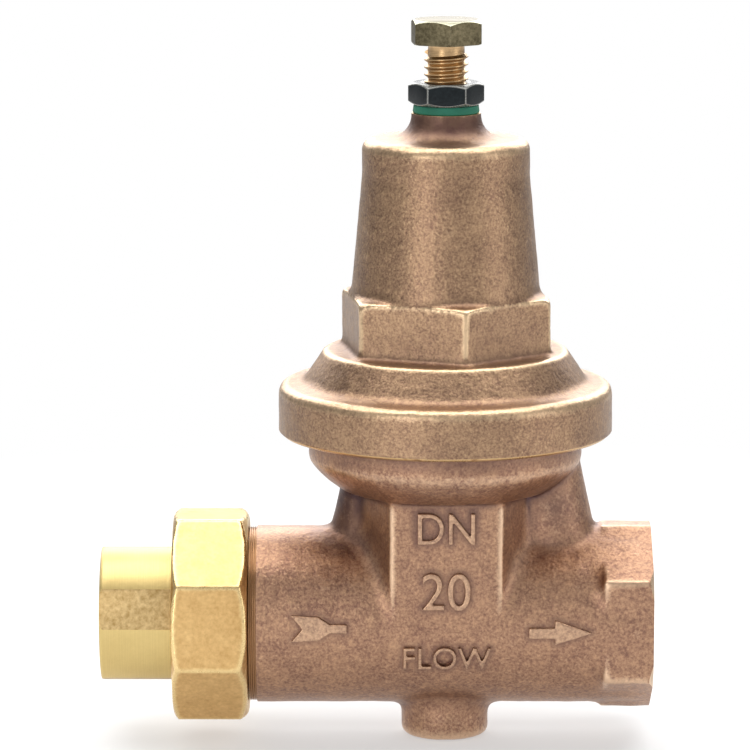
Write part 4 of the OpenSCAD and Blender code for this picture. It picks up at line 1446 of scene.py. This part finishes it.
@dataclass
class Studio:
    """The floor, the lamps, the surroundings and the camera. Sizes are in metres."""

    distance: float = 1.0
    elevation: float = 10.0
    view_width: float = 0.163
    aim: Point = (-0.0601, 0.05303)
    floor_gap: float = 0.0002
    floor_fade: Point = (0.12, 0.34)
    rear_fade: Point = (0.0, 0.12)
    lamps: tuple[Softbox, ...] = (Softbox("overhead", (0.0, 0.05, 0.75), 1.2, 0.6, 7.5),
                                  Softbox("behind", (0.0, 0.78, 0.46), 1.3, 0.55, 8.4),
                                  Softbox("front_left", (-0.37, -0.71, 0.14), 0.12, 0.55, 1.35),
                                  Softbox("right_side", (0.72, -0.31, 0.14), 0.12, 0.55, 0.75))

    def build(self) -> None:
        """Sets the stage."""
        self._floor()
        self._surroundings()
        for lamp in self.lamps:
            lamp.hang((CAD_BOX[0] + CAD_BOX[1]) / 2)
        self._camera()
        bpy.context.scene.view_settings.view_transform = "Standard"

    def _floor(self) -> None:
        """A wide pale floor under the foot: matte where the shadow falls and plain white further out."""
        bm = bmesh.new()
        bmesh.ops.create_grid(bm, x_segments=1, y_segments=1, size=30)
        floor = to_object("floor", bm)
        floor.data.transform(Matrix.Translation((STEM_X, 0, CAD_BOX[0].z - self.floor_gap)))
        material = bpy.data.materials.new("pale_floor")
        graph = Graph(material)
        where = graph.node("ShaderNodeTexCoord", out="Object")
        cloud = graph.node("ShaderNodeTexNoise", sockets={"Vector": where, "Scale": 3.0, "Detail": 2.0})
        tint = graph.blend((0.86, 0.86, 0.86), (0.90, 0.90, 0.90), cloud)
        matte = graph.node("ShaderNodeBsdfDiffuse", sockets={"Color": tint})
        white, grey = (graph.node("ShaderNodeEmission", sockets={"Color": (1, 1, 1, 1), "Strength": strength})
                       for strength in (1.0, 0.2))
        eye = graph.node("ShaderNodeLightPath", out="Is Camera Ray")
        shine = graph.node("ShaderNodeLightPath", out="Is Glossy Ray")
        x, y, _ = graph.axes(where)
        bare = (((x - STEM_X) ** 2 + y ** 2) ** 0.5).span(*self.floor_fade)
        rear = y.span(*self.rear_fade)
        share = eye * (0.45 + 0.55 * bare) + shine * (0.46 - 0.26 * bare - 0.16 * rear)
        mixed = graph.node("ShaderNodeMixShader", sockets={0: share, 1: matte, 2: white})
        dimmed = graph.node("ShaderNodeMixShader", sockets={0: shine * rear * 0.42, 1: mixed, 2: grey})
        graph.node("ShaderNodeOutputMaterial", sockets={"Surface": dimmed})
        floor.data.materials.append(material)

    def _surroundings(self) -> None:
        """A white backdrop for the camera, and a room that is brighter behind the object than in front."""
        world = bpy.data.worlds.new("studio")
        bpy.context.scene.world = world
        graph = Graph(world)
        eye = graph.node("ShaderNodeLightPath", out="Is Camera Ray")
        x, y, _ = graph.axes(graph.node("ShaderNodeTexCoord", out="Generated"))
        level = 0.74 + x * 0.06 - y.span(-1.0, -0.45) * 0.34 + y.span(0.45, 0.95) * 0.12
        strength = eye + (1 - eye) * level
        light = graph.node("ShaderNodeBackground", sockets={"Color": (1, 1, 1, 1), "Strength": strength})
        graph.node("ShaderNodeOutputWorld", sockets={"Surface": light})

    def _camera(self) -> None:
        """A long lens at the height of the flow line, looking slightly down."""
        data = bpy.data.cameras.new("camera")
        data.sensor_width = 36.0
        data.lens = data.sensor_width * self.distance / self.view_width
        data.clip_start, data.clip_end = 0.05, 50.0
        camera = bpy.data.objects.new("camera", data)
        tilt = math.radians(self.elevation)
        ahead = Vector((0, math.cos(tilt), -math.sin(tilt)))
        camera.location = Vector((self.aim[0], 0, self.aim[1])) - ahead * self.distance
        camera.rotation_euler = ahead.to_track_quat("-Z", "Y").to_euler()
        bpy.context.scene.collection.objects.link(camera)
        bpy.context.scene.camera = camera


def main() -> None:
    """Builds the valve and its studio in order."""
    logging.basicConfig(level=logging.INFO, format="%(name)s: %(message)s")
    outlet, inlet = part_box("body")[1].x / MM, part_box("tailpiece")[0].x / MM
    Casting(FrontMarks().build()).build()
    UnionSpigot().build()
    BellJoint().build()
    PortThread("outlet_thread", "valve", "cast_bronze", CUT_BRONZE_X, outlet, -1).build()
    SpringBell().build()
    Adjuster().build()
    Union().build()
    PortThread("inlet_thread", "tail", "yellow_brass", TAIL_BRASS, inlet, 1).build()
    InnerWorks().build()
    YieldingWorks().build()
    Studio().build()


if __name__ == "__main__":
    main()
